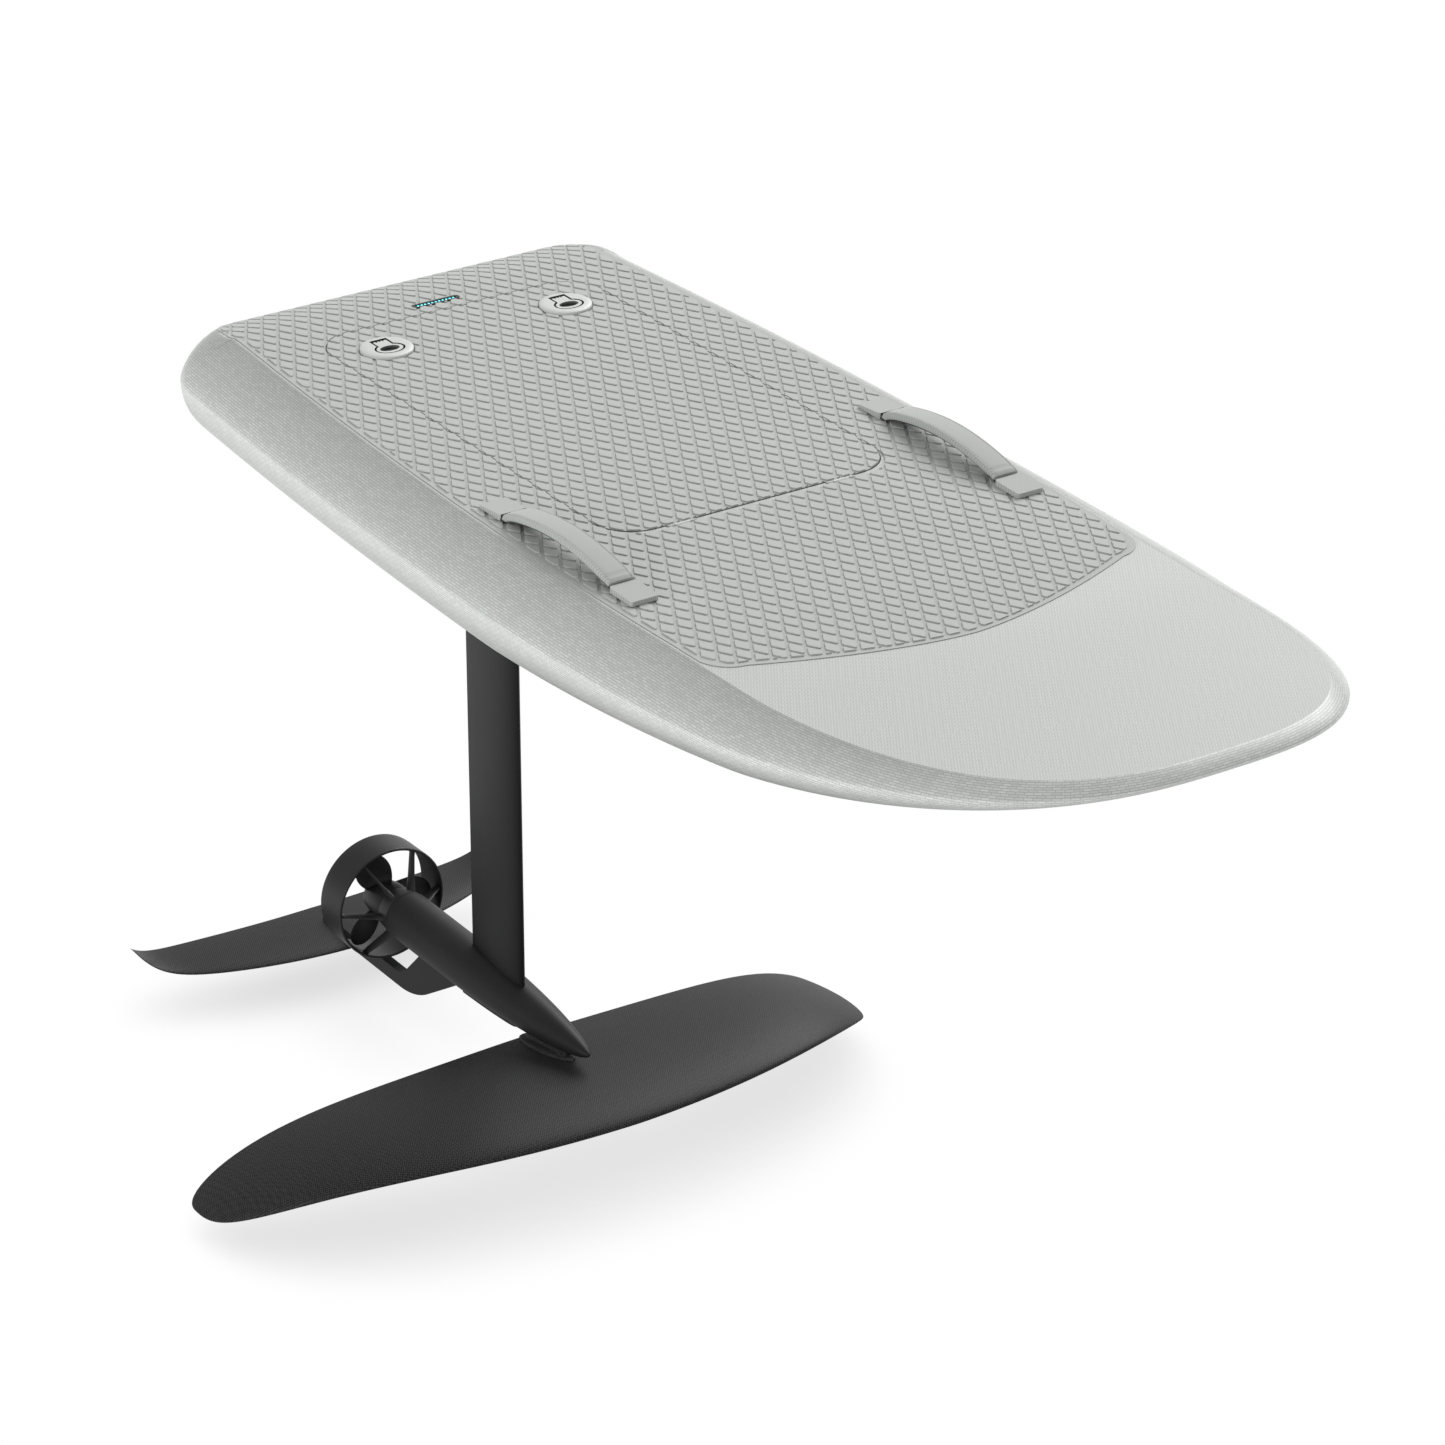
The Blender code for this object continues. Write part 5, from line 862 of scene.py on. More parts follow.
def tiled(name, outlines, *materials):
    """Diamond tiles on a lattice, kept to the inside of an outline and the outside of its holes."""
    outer, *holes = outlines
    edges = [p for outline in outlines for p in outline]
    floor = PAD_TOP_Z - TILE_HEIGHT
    draft = TILE_DRAFT / TILE_HALF_WIDTH
    levels = (
        (TILE_SHARE + draft, floor - TILE_CROWN),
        (TILE_SHARE, PAD_TOP_Z - TILE_CROWN),
        (TILE_SHARE - TILE_CROWN_DRAFT * draft, PAD_TOP_Z),
    )

    def near(centre, point):
        across = abs(point[0] - centre[0]) / TILE_HALF_LENGTH + abs(point[1] - centre[1]) / TILE_HALF_WIDTH
        return across < TILE_REACH

    whole = bmesh.new()
    crossing = bmesh.new()
    columns = math.ceil(max(abs(x) for x, _ in outer) / TILE_HALF_LENGTH)
    rows = math.ceil(max(abs(y) for _, y in outer) / TILE_HALF_WIDTH)
    for i in range(-columns, columns + 1):
        for j in range(-rows, rows + 1):
            if (i + j) % 2:
                continue
            centre = (i * TILE_HALF_LENGTH, j * TILE_HALF_WIDTH)
            corners = [(x, y) for x, y, _ in tile_ring(centre, TILE_SHARE + draft, 0.0)]
            kept = [inside(p, outer) and not any(inside(p, hole) for hole in holes) for p in corners]
            touched = any(near(centre, p) for p in edges)
            if any(kept) or touched:
                builder = whole if all(kept) and not touched else crossing
                add_loft(builder, [tile_ring(centre, share, z) for share, z in levels], material=1, wall=2)
    border = finish_mesh(crossing, name + "_border", *materials)
    region = plate(name + "_region", outlines, floor - 2 * TILE_HEIGHT, PAD_TOP_Z + TILE_HEIGHT, *materials)
    carve(border, "INTERSECT", region)
    tiles = joined(finish_mesh(whole, name, *materials), border)
    tiles.data.shade_flat()
    return tiles


def cut_across(obj):
    """Cut a flat piece across behind the roll's start, so that it can bend there."""
    with edited(obj) as builder:
        for share in shares(TAIL_ROLL_CUTS)[:-1]:
            x = between(TAIL_ROLL_X, PAD_TAIL_X, share)
            whole = builder.verts[:] + builder.edges[:] + builder.faces[:]
            bmesh.ops.bisect_plane(builder, geom=whole, dist=1e-7, plane_co=(x, 0, 0), plane_no=(1, 0, 0))
    return obj


def rolled(obj):
    """Lower a piece with the deck at the tail."""
    for vertex in obj.data.vertices:
        vertex.co.z -= tail_drop(vertex.co.x)
    return obj


def latch_centres():
    """Place and radius of each latch, from its CAD knob."""
    boxes = [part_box(f"latch_knob_{side}") for side in SIDES]
    return [((low.x + high.x) / 2, (low.y + high.y) / 2, (high.x - low.x) / 2) for low, high in boxes]


def make_pads():
    low = DECK_Z + FIT
    floor = PAD_TOP_Z - TILE_HEIGHT
    # Base, tile tops and tile walls; base and walls darker as painted shade
    foams = (PAD_GROOVE_SHADE, PAD_FOAM, PAD_WALL_SHADE)
    light_low, light_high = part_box("light_housing")
    half_length = 0.5 * (light_high.x - light_low.x) + FIT
    light = shifted(
        rounded_rectangle(-half_length, half_length, light_high.y + FIT, LIGHT_CORNER, steps=6),
        (light_low.x + light_high.x) / 2,
    )
    base_outlines = [pad_outline(), hatch_outline(SEAM, HINGE_BAND), light]
    base = plate("deck_pad_base", base_outlines, low, floor, *foams)
    cut_across(baked(soften(base, PAD_BEVEL, 2)))
    tile_outlines = [pad_outline(PAD_RIM), hatch_outline(SEAM + FIT, HINGE_BAND + SEAM), light]
    tiles = tiled("deck_pad_tiles", tile_outlines, *foams)
    place(even_shading(rolled(joined(base, tiles)), 30), "board", "deck_pad")
    base.name = "deck_pad_foam"
    knobs = [circle((x, y), r + KNOB_GAP) for x, y, r in latch_centres()]
    hatch_base = plate("hatch_pad_base", [hatch_outline(), *knobs], low, floor, *foams)
    baked(soften(hatch_base, HATCH_PAD_BEVEL, 2))
    rims = [circle((x, y), r + 2 * KNOB_GAP) for x, y, r in latch_centres()]
    hatch_tiles = tiled("hatch_pad_tiles", [hatch_outline(-FIT, -FIT), *rims], *foams)
    place(even_shading(joined(hatch_base, hatch_tiles), 30), "hatch", "hatch_pad")
    hatch_base.name = "hatch_pad_foam"


# Light bar

LENS_SINK = 0.0002
LENS_BEVEL = 0.0002
LENS_ROUNDING = 0.9
DIODE_COUNT = 11
DIODE_END_GAP = 0.004
DIODE_RADIUS = 0.0012
DIODE_HEIGHT = 0.0005


def make_light():
    low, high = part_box("light_lens")
    centre_x = (low.x + high.x) / 2
    half = (high.x - low.x) / 2
    top = high.z - LENS_SINK
    outline = shifted(rounded_rectangle(-half, half, high.y, half * LENS_ROUNDING, steps=8), centre_x)
    lens = plate("light_lens_cover", [outline], low.z, top, LENS_BLACK)
    place(soften(lens, LENS_BEVEL, 2), "board", "light_lens")
    builder = bmesh.new()
    reach = high.y - DIODE_END_GAP
    size = Matrix.Diagonal((DIODE_RADIUS, DIODE_RADIUS, DIODE_HEIGHT, 1.0))
    for i in range(DIODE_COUNT):
        y = -reach + 2 * reach * i / (DIODE_COUNT - 1)
        spot = Matrix.Translation((centre_x, y, top)) @ size
        bmesh.ops.create_uvsphere(builder, u_segments=16, v_segments=8, radius=1.0, matrix=spot)
    place(finish_mesh(builder, "light_diodes", GLOW), "board")


# Carry handles

TAB_CORNER = 0.0035
TAB_EDGE = 0.0011
SLOT = 0.0026
REAR_SINK = 0.0044
REAR_SINK_POWER = 24
FOLDS = (0.0050, 0.0095)
FOLD_WIDTH = 0.0010
FOLD_DEPTH = 0.28
STRAP_THICKNESS = 0.0085
STRAP_CROWN = 0.0007
STRAP_END_HEIGHT = 0.0068
STRAP_END_THICKNESS = 0.55
STRAP_END_LENGTH = 0.004
STRAP_ARCH_POWER = 0.9
STRAP_STEPS = 72
SEWN_INSET = 0.0030
SEWN_DIP = 0.0005
WEBBING_THICKNESS = 0.0018
WEBBING_DROP = 0.0011
WEBBING_WIDTH = 0.82


def strap_section(half_width, thickness, crown):
    """Half-round edged strap seen end on, with a sewn line near each edge, as (sideways, up) points."""
    edge = thickness / 2
    seam = half_width - SEWN_INSET
    right = [
        (0.0, edge + crown),
        (seam * 0.5, edge + crown * 0.75),
        (seam - 0.0009, edge + crown * 0.12),
        (seam - 0.0002, edge - SEWN_DIP),
        (seam + 0.0005, edge - 0.0002),
        (seam + 0.0013, edge),
        (half_width - 0.0007, edge * 0.80),
        (half_width - 0.0001, edge * 0.35),
        (half_width, -edge * 0.35),
        (half_width - 0.0008, -edge * 0.85),
        (half_width - 0.0022, -edge),
        (0.0, -edge),
    ]
    left = [(-x, z) for x, z in reversed(right[1:-1])]
    return right + left


def make_handle(side):
    rear_low, rear_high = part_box(f"handle_rear_tab_{side}")
    front_low, front_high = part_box(f"handle_front_tab_{side}")
    grip_low, grip_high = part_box(f"handle_grip_{side}")
    y = (rear_low.y + rear_high.y) / 2
    seat = rear_low.z
    tab_half = (rear_high.y - rear_low.y) / 2
    height = rear_high.z - rear_low.z

    def tab(end, low, high, rear_share, front_share, shaded_front=False):
        """A sewn-down tab, as high at its ends as two shares say, with a painted shadow on its front face
        if asked.
        """
        outline = shifted(rounded_rectangle(low.x, high.x, tab_half, TAB_CORNER, steps=6), 0.0, y)
        piece = plate(f"strap_{end}_tab_{side}", [outline], seat, seat + height, STRAP, WEBBING_AND_SHADOW)
        for vertex in piece.data.vertices:
            along = (vertex.co.x - low.x) / (high.x - low.x)
            vertex.co.z = seat + (vertex.co.z - seat) * between(rear_share, front_share, along)
        baked(soften(piece, TAB_EDGE, 3))
        for polygon in piece.data.polygons:
            polygon.material_index = 1 if shaded_front and polygon.normal.x > 0.8 else 0
        place(even_shading(piece, 50), "board", f"handle_{end}_tab_{side}")

    tab("rear", rear_low, rear_high, 0.5, 1.0, shaded_front=True)
    tab("front", front_low, front_high, 0.92, 0.72)

    grip_rear = max(grip_low.x, rear_high.x + SLOT)
    half_width = (grip_high.y - grip_low.y) / 2
    end_z = seat + STRAP_END_HEIGHT
    arch = grip_high.z - STRAP_THICKNESS / 2 - end_z
    path = []
    for share in shares(STRAP_STEPS):
        rise = arch * math.sin(math.pi * share) ** STRAP_ARCH_POWER
        sink = REAR_SINK * (1.0 - share) ** REAR_SINK_POWER
        path.append((between(grip_rear, grip_high.x, share), end_z + rise - sink))
    lengths = run_lengths(path)
    below = STRAP_THICKNESS / 2 + WEBBING_DROP + FIT
    webbing_shape = strap_section(half_width * WEBBING_WIDTH, WEBBING_THICKNESS, 0.0)
    grip_rings = []
    webbing_rings = []
    for i, (x, z) in enumerate(path):
        before = Vector(path[max(i - 1, 0)])
        after = Vector(path[min(i + 1, STRAP_STEPS)])
        run = (after - before).normalized()
        to_rear = lengths[i]
        to_front = lengths[-1] - lengths[i]
        folds = sum(math.exp(-(((to_front - at) / FOLD_WIDTH) ** 2)) for at in FOLDS)
        fullness = ease(min(to_front, to_rear), 0.0, STRAP_END_LENGTH)
        ends = between(STRAP_END_THICKNESS, 1.0, fullness)
        shape = strap_section(half_width, STRAP_THICKNESS * ends * (1.0 - FOLD_DEPTH * folds), STRAP_CROWN)
        grip_rings.append([(x - run.y * up, y + across, z + run.x * up) for across, up in shape])
        lowered = [(across, up - below) for across, up in webbing_shape]
        webbing_rings.append([(x - run.y * up, y + across, z + run.x * up) for across, up in lowered])
    grip = loft(f"strap_grip_{side}", grip_rings, STRAP)
    place(even_shading(grip, 50), "board", f"handle_grip_{side}")
    webbing = loft(f"strap_webbing_{side}", webbing_rings, WEBBING_AND_SHADOW)
    # A near-black block fills the slot between the rear tab and the grip: painted shadow under the tab's
    # lip
    slot_shadow = rounded_rectangle(rear_high.x - SLOT, grip_rear + SLOT, tab_half - TAB_EDGE, FIT, steps=2)
    joined(webbing, plate(f"strap_slot_{side}", [shifted(slot_shadow, 0.0, y)], seat, seat + SLOT, WEBBING_AND_SHADOW))
    place(even_shading(webbing, 50), "board", f"handle_webbing_{side}")


# Latches

RING_REAR = -0.0172
RING_NECK = 0.0088
RING_CENTRE = 0.0075
RING_HALF_LENGTH = 0.0120
RING_HALF_WIDTH = 0.0165
RING_GAP = 0.0024
RING_REAR_GAP = 0.0020
RING_BEVEL = 0.0005
FINGER_HOLE_X = 0.0072
FINGER_HOLE_HALF_LENGTH = 0.0076
FINGER_HOLE_HALF_WIDTH = 0.0124
COMB_NOTCHES = (-0.0042, 0.0, 0.0042)
COMB_HALF_WIDTH = 0.0008
COMB_DEPTH = 0.0022
KNOB_STEM_RADIUS = 0.009
KNOB_EDGE = 0.0004
KNOB_BRIM = 0.0008
KNOB_CROWN_STEPS = 8
KNOB_CROWN_POWER = 0.8
KNOB_TOP_SHARE = 0.72
KNOB_TURN_STEPS = 96
POCKET_DEPTH = 0.0018
POCKET_RIM = 0.0008
POCKET_REACH = 0.78


def oval(neck, half_length, half_width, steps=40):
    """The lift ring's round end about the latch centre, from one side of its neck to the other."""
    start = math.pi - math.asin(neck / half_width)
    angles = [between(start, -start, share) for share in shares(steps)]
    return [(RING_CENTRE + half_length * math.cos(angle), half_width * math.sin(angle)) for angle in angles]


def ring_outline():
    """The lift ring seen from above: a block with a comb at its rear, and an oval."""
    comb_end = RING_REAR + COMB_DEPTH
    rear = [(RING_REAR, -RING_NECK)]
    for middle in COMB_NOTCHES:
        near, far = middle - COMB_HALF_WIDTH, middle + COMB_HALF_WIDTH
        rear += [(RING_REAR, near), (comb_end, near), (comb_end, far), (RING_REAR, far)]
    return [*rear, (RING_REAR, RING_NECK), *oval(RING_NECK, RING_HALF_LENGTH, RING_HALF_WIDTH)]


def pocket_outline():
    """The recess for the lift ring, with a gap all round and more behind."""
    neck = RING_NECK + RING_GAP
    rear = RING_REAR - RING_GAP - RING_REAR_GAP
    half_length = RING_HALF_LENGTH + RING_GAP
    return [(rear, -neck), (rear, neck), *oval(neck, half_length, RING_HALF_WIDTH + RING_GAP)]


def make_latch(side, x, y, radius):
    knob_low, knob_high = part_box(f"latch_knob_{side}")
    ring_low, ring_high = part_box(f"lift_ring_{side}")
    centre = Vector((x, y))
    seat = DECK_Z + FIT
    brim = PAD_TOP_Z + KNOB_BRIM
    crown = knob_high.z
    profile = [
        (knob_low.z, 0.0),
        (knob_low.z, KNOB_STEM_RADIUS),
        (seat, KNOB_STEM_RADIUS),
        (seat, radius - KNOB_EDGE),
        (seat + KNOB_EDGE, radius),
    ]
    for share in shares(KNOB_CROWN_STEPS):
        angle = QUARTER * share
        height = between(brim, crown, math.sin(angle) ** KNOB_CROWN_POWER)
        profile.append((height, radius * between(KNOB_TOP_SHARE, 1.0, math.cos(angle))))
    profile.append((crown, 0.0))
    builder = bmesh.new()
    add_turned(builder, profile, 0.0, KNOB_TURN_STEPS, closed=False)
    weld(builder)
    upward = Matrix.Translation((x, y, 0)) @ Matrix.Rotation(-QUARTER, 4, "Y")
    bmesh.ops.transform(builder, matrix=upward, verts=builder.verts)
    knob = finish_mesh(builder, f"latch_disc_{side}", WHITE, LATCH_GAP_SHADE, LATCH_HOLLOW_SHADE)
    recess = shifted(pocket_outline(), x, y)
    floor = ring_low.z - POCKET_DEPTH
    carve(knob, "DIFFERENCE", plate(f"latch_pocket_{side}", [recess], floor, crown + SKIN, LATCH_GAP_SHADE))
    # Pocket walls near-black and pocket floor dark grey: painted shade in the recess round the lift ring
    for polygon in knob.data.polygons:
        inner = (polygon.center.xy - centre).length < radius * POCKET_REACH
        if inner and seat < polygon.center.z < crown - POCKET_RIM:
            polygon.material_index = 2 if polygon.normal.z > 0.9 else 1
    soften(knob, KNOB_EDGE, 2, 50)
    place(even_shading(baked(knob), 40), f"latch_{side}", f"latch_knob_{side}")
    finger = [
        (FINGER_HOLE_X + px * FINGER_HOLE_HALF_LENGTH, py * FINGER_HOLE_HALF_WIDTH)
        for px, py in circle((0.0, 0.0), 1.0)
    ]
    outlines = [shifted(ring_outline(), x, y), shifted(finger, x, y)]
    ring = plate(f"latch_ring_{side}", outlines, ring_low.z, ring_high.z, WHITE, LATCH_GAP_SHADE, LATCH_HOLLOW_SHADE)
    baked(soften(ring, RING_BEVEL, 3, 50))
    hole_centre = Vector((x + FINGER_HOLE_X, y))
    # Ring side walls near-black and finger hole walls dark grey: painted shade in the gaps and the hole
    for polygon in ring.data.polygons:
        if abs(polygon.normal.z) < 0.2:
            in_hole = (polygon.center.xy - hole_centre).length < FINGER_HOLE_HALF_WIDTH + FIT
            polygon.material_index = 2 if in_hole and polygon.center.x > x - FINGER_HOLE_HALF_LENGTH else 1
    place(even_shading(ring, 40), f"ring_{side}", f"lift_ring_{side}")


# Motor pod

POD_AXIS_Z = -0.742
POD_RADIUS = 0.032
POD_NOSE_X = -0.033
POD_TAPER_START_X = -0.330
POD_REAR_X = -0.4605
POD_WALL = 0.0042
POD_EDGE = 0.0008
POD_TAPER_POWER = 2.0
POD_ROUNDING_POWER = 0.58
MOTOR_CAVITY_FRONT_X = -0.328


def pod_profile(gap=0.0, steps=40):
    length = POD_NOSE_X - POD_TAPER_START_X
    profile = [(POD_NOSE_X + gap, 0.0)]
    for step in reversed(shares(steps)[:-1]):
        share = math.sin(QUARTER * step)
        radius = POD_RADIUS * (1.0 - share**POD_TAPER_POWER) ** POD_ROUNDING_POWER
        profile.append((POD_TAPER_START_X + length * share + gap * share, radius + gap))
    return profile


def turned_on_pod_axis(name, profile, steps, *materials):
    builder = bmesh.new()
    add_turned(builder, profile, POD_AXIS_Z, steps, closed=False)
    weld(builder)
    return finish_mesh(builder, name, *materials)


def pod_tool(gap):
    """The pod's outer form grown by a gap, to seat a neighbour against it."""
    rear = POD_REAR_X - gap
    return turned_on_pod_axis("pod_tool", pod_profile(gap) + [(rear, POD_RADIUS + gap), (rear, 0.0)], 96)


def make_pod():
    cavity = POD_RADIUS - POD_WALL
    profile = pod_profile() + [
        (POD_REAR_X + POD_EDGE, POD_RADIUS),
        (POD_REAR_X, POD_RADIUS - POD_EDGE),
        (POD_REAR_X, cavity),
        (MOTOR_CAVITY_FRONT_X, cavity),
        (MOTOR_CAVITY_FRONT_X, 0.0),
    ]
    place(even_shading(turned_on_pod_axis("pod_shell", profile, 128, METAL), 40), "board", "motor_pod")


# Propeller and its guard

GUARD_FRONT_X = -0.499
GUARD_LENGTH = 0.050
GUARD_OUTER_RADIUS = 0.0762
GUARD_TAPER = 0.0006
GUARD_WALL = 0.0038
GUARD_WALL_STEPS = 6
GUARD_HUB_REAR_X = -0.486
GUARD_HUB_REAR_RADIUS = 0.0285
GUARD_HUB_BORE = 0.0085
HUB_EDGE = 0.0010
HUB_FRONT_EDGE = 0.0008
HUB_FRONT_INSET = 0.0004
STRUT_COUNT = 6
STRUT_FIRST_ANGLE = math.radians(30)
STRUT_STATIONS = 26
STRUT_ROOT_CHORD = 0.019
STRUT_TIP_CHORD = 0.012
STRUT_TIP_PLACE = 0.15
STRUT_ROOT_SINK = 0.005
STRUT_THICKNESS = 0.0038
STRUT_FATNESS = 0.85
BOSS_FATNESS = 1.1
BOSS_WIDTH = 0.0052
FLARE_FATNESS = 0.55
FLARE_WIDTH = 0.0030
BLADE_COUNT = 3
BLADE_FIRST_ANGLE = math.radians(-20)
BLADE_STATIONS = 33
BLADE_TIP_GAP = 0.002
BLADE_X = -0.5190
BLADE_PITCH = 0.085
BLADE_CHORD = 0.050
BLADE_ROOT_CHORD = 0.030
BLADE_ROOT_SHARE = 0.8
BLADE_WIDENING = 1.5
BLADE_TIP_POWER = 5
BLADE_TIP_CHORD_SHARE = 0.16
BLADE_THICKNESS = 0.0040
BLADE_THINNING = 0.6
FILLET_FATNESS = 1.2
FILLET_WIDTH = 0.004
PROP_HUB_RADIUS = 0.0275
PROP_HUB_REAR_RADIUS = 0.0225
PROP_HUB_REAR_X = -0.530
PROP_HUB_POWER = 2.2
PROP_HUB_STEPS = 8
PROP_HUB_EDGE = 0.0008
PROP_HUB_GAP = 0.0004
PROP_HUB_BORE = 0.0053


def bell(distance, width):
    return math.exp(-((distance / width) ** 2))


def add_arms(builder, count, first_angle, stations, section):
    """Like arms about the pod's line, through a radius and (axial, sideways) points at each station."""
    for turn in turns(count):
        rings = []
        for share in shares(stations):
            radius, outline = section(share)
            ring = []
            for x, sideways in outline:
                angle = first_angle + turn + sideways / radius
                ring.append((x, radius * math.sin(angle), POD_AXIS_Z + radius * math.cos(angle)))
            rings.append(ring)
        add_loft(builder, rings)


def make_guard():
    builder = bmesh.new()
    front, rear = GUARD_FRONT_X, GUARD_FRONT_X - GUARD_LENGTH
    outer, inner = GUARD_OUTER_RADIUS, GUARD_OUTER_RADIUS - GUARD_WALL
    lip = GUARD_WALL / 2
    down = -QUARTER
    nose = arc((front - lip, outer - lip), lip, -down, down, steps=10)
    tail = arc((rear + lip * 0.4, (outer + inner) / 2 - GUARD_TAPER), lip * 0.8, down, 3 * down, steps=8)
    steps = shares(GUARD_WALL_STEPS)[1:-1]
    outer_wall = [(between(rear, front, share), outer - GUARD_TAPER * (1 - share)) for share in steps]
    inner_wall = [(between(front, rear, share), inner) for share in steps]
    add_turned(builder, outer_wall + nose + inner_wall + tail, POD_AXIS_Z, 160)
    hub_front = POD_REAR_X - FIT
    hub_radius = POD_RADIUS - HUB_FRONT_INSET
    hub = [
        (hub_front, GUARD_HUB_BORE),
        (hub_front, hub_radius - HUB_EDGE),
        (hub_front - HUB_FRONT_EDGE, hub_radius),
        (GUARD_HUB_REAR_X + HUB_EDGE, GUARD_HUB_REAR_RADIUS),
        (GUARD_HUB_REAR_X, GUARD_HUB_REAR_RADIUS - HUB_EDGE),
        (GUARD_HUB_REAR_X, GUARD_HUB_BORE),
    ]
    add_turned(builder, hub, POD_AXIS_Z, 96)
    root_x = (hub_front + GUARD_HUB_REAR_X) / 2
    tip_x = front - GUARD_LENGTH * STRUT_TIP_PLACE - STRUT_TIP_CHORD / 2 + GUARD_WALL * 0.9
    root = (POD_RADIUS + GUARD_HUB_REAR_RADIUS) / 2 - STRUT_ROOT_SINK
    tip = inner + GUARD_WALL / 2

    def strut_section(share):
        """An oval that fattens into a boss at the hub and flares at the duct."""
        radius = between(root, tip, share)
        boss = bell(max(radius - POD_RADIUS, 0.0), BOSS_WIDTH)
        flare = bell(max(inner - radius, 0.0), FLARE_WIDTH)
        chord = between(STRUT_ROOT_CHORD, STRUT_TIP_CHORD, share)
        half = STRUT_THICKNESS / 2 * (STRUT_FATNESS + BOSS_FATNESS * boss + FLARE_FATNESS * flare)
        middle = between(root_x, tip_x, share)
        return radius, [(middle + chord / 2 * math.cos(a), half * math.sin(a)) for a in turns(28)]

    add_arms(builder, STRUT_COUNT, STRUT_FIRST_ANGLE, STRUT_STATIONS, strut_section)
    guard = finish_mesh(builder, "guard_moulding", GUARD)
    place(even_shading(guard, 45), "board", "prop_guard")


def make_propeller():
    builder = bmesh.new()
    hub_front = GUARD_HUB_REAR_X - PROP_HUB_GAP
    hub = [
        (hub_front, PROP_HUB_BORE),
        (hub_front, PROP_HUB_RADIUS - PROP_HUB_EDGE),
        (hub_front - PROP_HUB_EDGE, PROP_HUB_RADIUS),
    ]
    for share in shares(PROP_HUB_STEPS)[1:]:
        radius = between(PROP_HUB_RADIUS, PROP_HUB_REAR_RADIUS, share**PROP_HUB_POWER)
        hub.append((between(hub_front, PROP_HUB_REAR_X, share), radius))
    hub.append((PROP_HUB_REAR_X, PROP_HUB_BORE))
    add_turned(builder, hub, POD_AXIS_Z, 96)
    tip = GUARD_OUTER_RADIUS - GUARD_WALL - GUARD_TAPER * 0.2 - BLADE_TIP_GAP
    root = PROP_HUB_REAR_RADIUS * BLADE_ROOT_SHARE

    def blade_section(station):
        """A thin oval set at the helix angle of its radius."""
        share = math.sin(QUARTER * station)
        radius = between(root, tip, share)
        widen = math.sin(QUARTER * min(share * BLADE_WIDENING, 1.0))
        rounding = max(math.sqrt(max(1.0 - share**BLADE_TIP_POWER, 0.0)), BLADE_TIP_CHORD_SHARE)
        chord = between(BLADE_ROOT_CHORD, BLADE_CHORD, widen) * rounding
        fillet = 1.0 + FILLET_FATNESS * bell(radius - PROP_HUB_RADIUS, FILLET_WIDTH)
        thickness = BLADE_THICKNESS * (1.0 - BLADE_THINNING * share) * fillet
        pitch = math.atan(BLADE_PITCH / (2 * math.pi * radius))
        outline = []
        for around in turns(32):
            along = chord / 2 * math.cos(around)
            off = thickness / 2 * math.sin(around)
            axial = along * math.sin(pitch) + off * math.cos(pitch)
            outline.append((BLADE_X + axial, along * math.cos(pitch) - off * math.sin(pitch)))
        return radius, outline

    add_arms(builder, BLADE_COUNT, BLADE_FIRST_ANGLE, BLADE_STATIONS, blade_section)
    propeller = finish_mesh(builder, "propeller_moulding", GUARD)
    place(even_shading(propeller, 45), "propeller", "propeller")


# Wings

Wing = namedtuple(
    "Wing",
    "name half_span stations trailing_x height root_chord chord_power tip_rounding "
    "sweep sweep_power sweep_line tip_rise rise_power incidence thickness",
)
FRONT_WING = Wing(
    name="front_wing_skin",
    half_span=0.467,
    stations=48,
    trailing_x=-0.1815,
    height=-0.784,
    root_chord=0.267,
    chord_power=1.57,
    tip_rounding=2.86,
    sweep=0.0927,
    sweep_power=3.28,
    sweep_line=0.618,
    tip_rise=-0.0909,
    rise_power=4.8,
    incidence=math.radians(2.0),
    thickness=0.095,
)
STABILISER = Wing(
    name="stabiliser_skin",
    half_span=0.2697,
    stations=40,
    trailing_x=-0.7111,
    height=-0.8425,
    root_chord=0.1206,
    chord_power=1.42,
    tip_rounding=3.25,
    sweep=0.0488,
    sweep_power=1.91,
    sweep_line=0.417,
    tip_rise=0.0253,
    rise_power=13.4,
    incidence=math.radians(-1.0),
    thickness=0.085,
)
CAMBER = 0.018
WING_LOFTED_SHARE = 0.993
SADDLE_TIP_X = -0.068
SADDLE_END_HALF_WIDTH = 0.009
SADDLE_HALF_WIDTH = 0.019
SADDLE_RISE = 0.004
SADDLE_LOFTED_SHARE = 0.998
SADDLE_TIP_POWER = 8
SADDLE_SWELL_POWER = 0.7
SADDLE_SIDE_POWER = 0.55
SADDLE_TOP_POWER = 0.7
SADDLE_STEPS = 36
PYLON_HALF_WIDTH = 0.008
PYLON_INSET = 0.012
SCREW_HOLE_DEPTH = 0.02
SCREW_HEAD = 0.004


def section_thickness(share, ratio):
    """Half thickness of the usual four-digit wing section, as a share of the chord."""
    front = 0.2969 * math.sqrt(share) - 0.126 * share
    return 5 * ratio * (front - 0.3516 * share**2 + 0.2843 * share**3 - 0.1015 * share**4)


def camber_line(chord, share):
    return 4 * CAMBER * chord * share * (1.0 - share)


def wing_ring(wing, trailing, chord, steps=36):
    upper, lower = [], []
    for step in shares(steps):
        share = (1.0 - math.cos(math.pi * step)) / 2
        half = chord * section_thickness(share, wing.thickness)
        ahead = chord * (1.0 - share)
        x = trailing.x + ahead * math.cos(wing.incidence)
        z = trailing.z + ahead * math.sin(wing.incidence) + camber_line(chord, share)
        upper.append((x, trailing.y, z + half))
        lower.append((x, trailing.y, z - half))
    return list(reversed(upper)) + lower[1:]


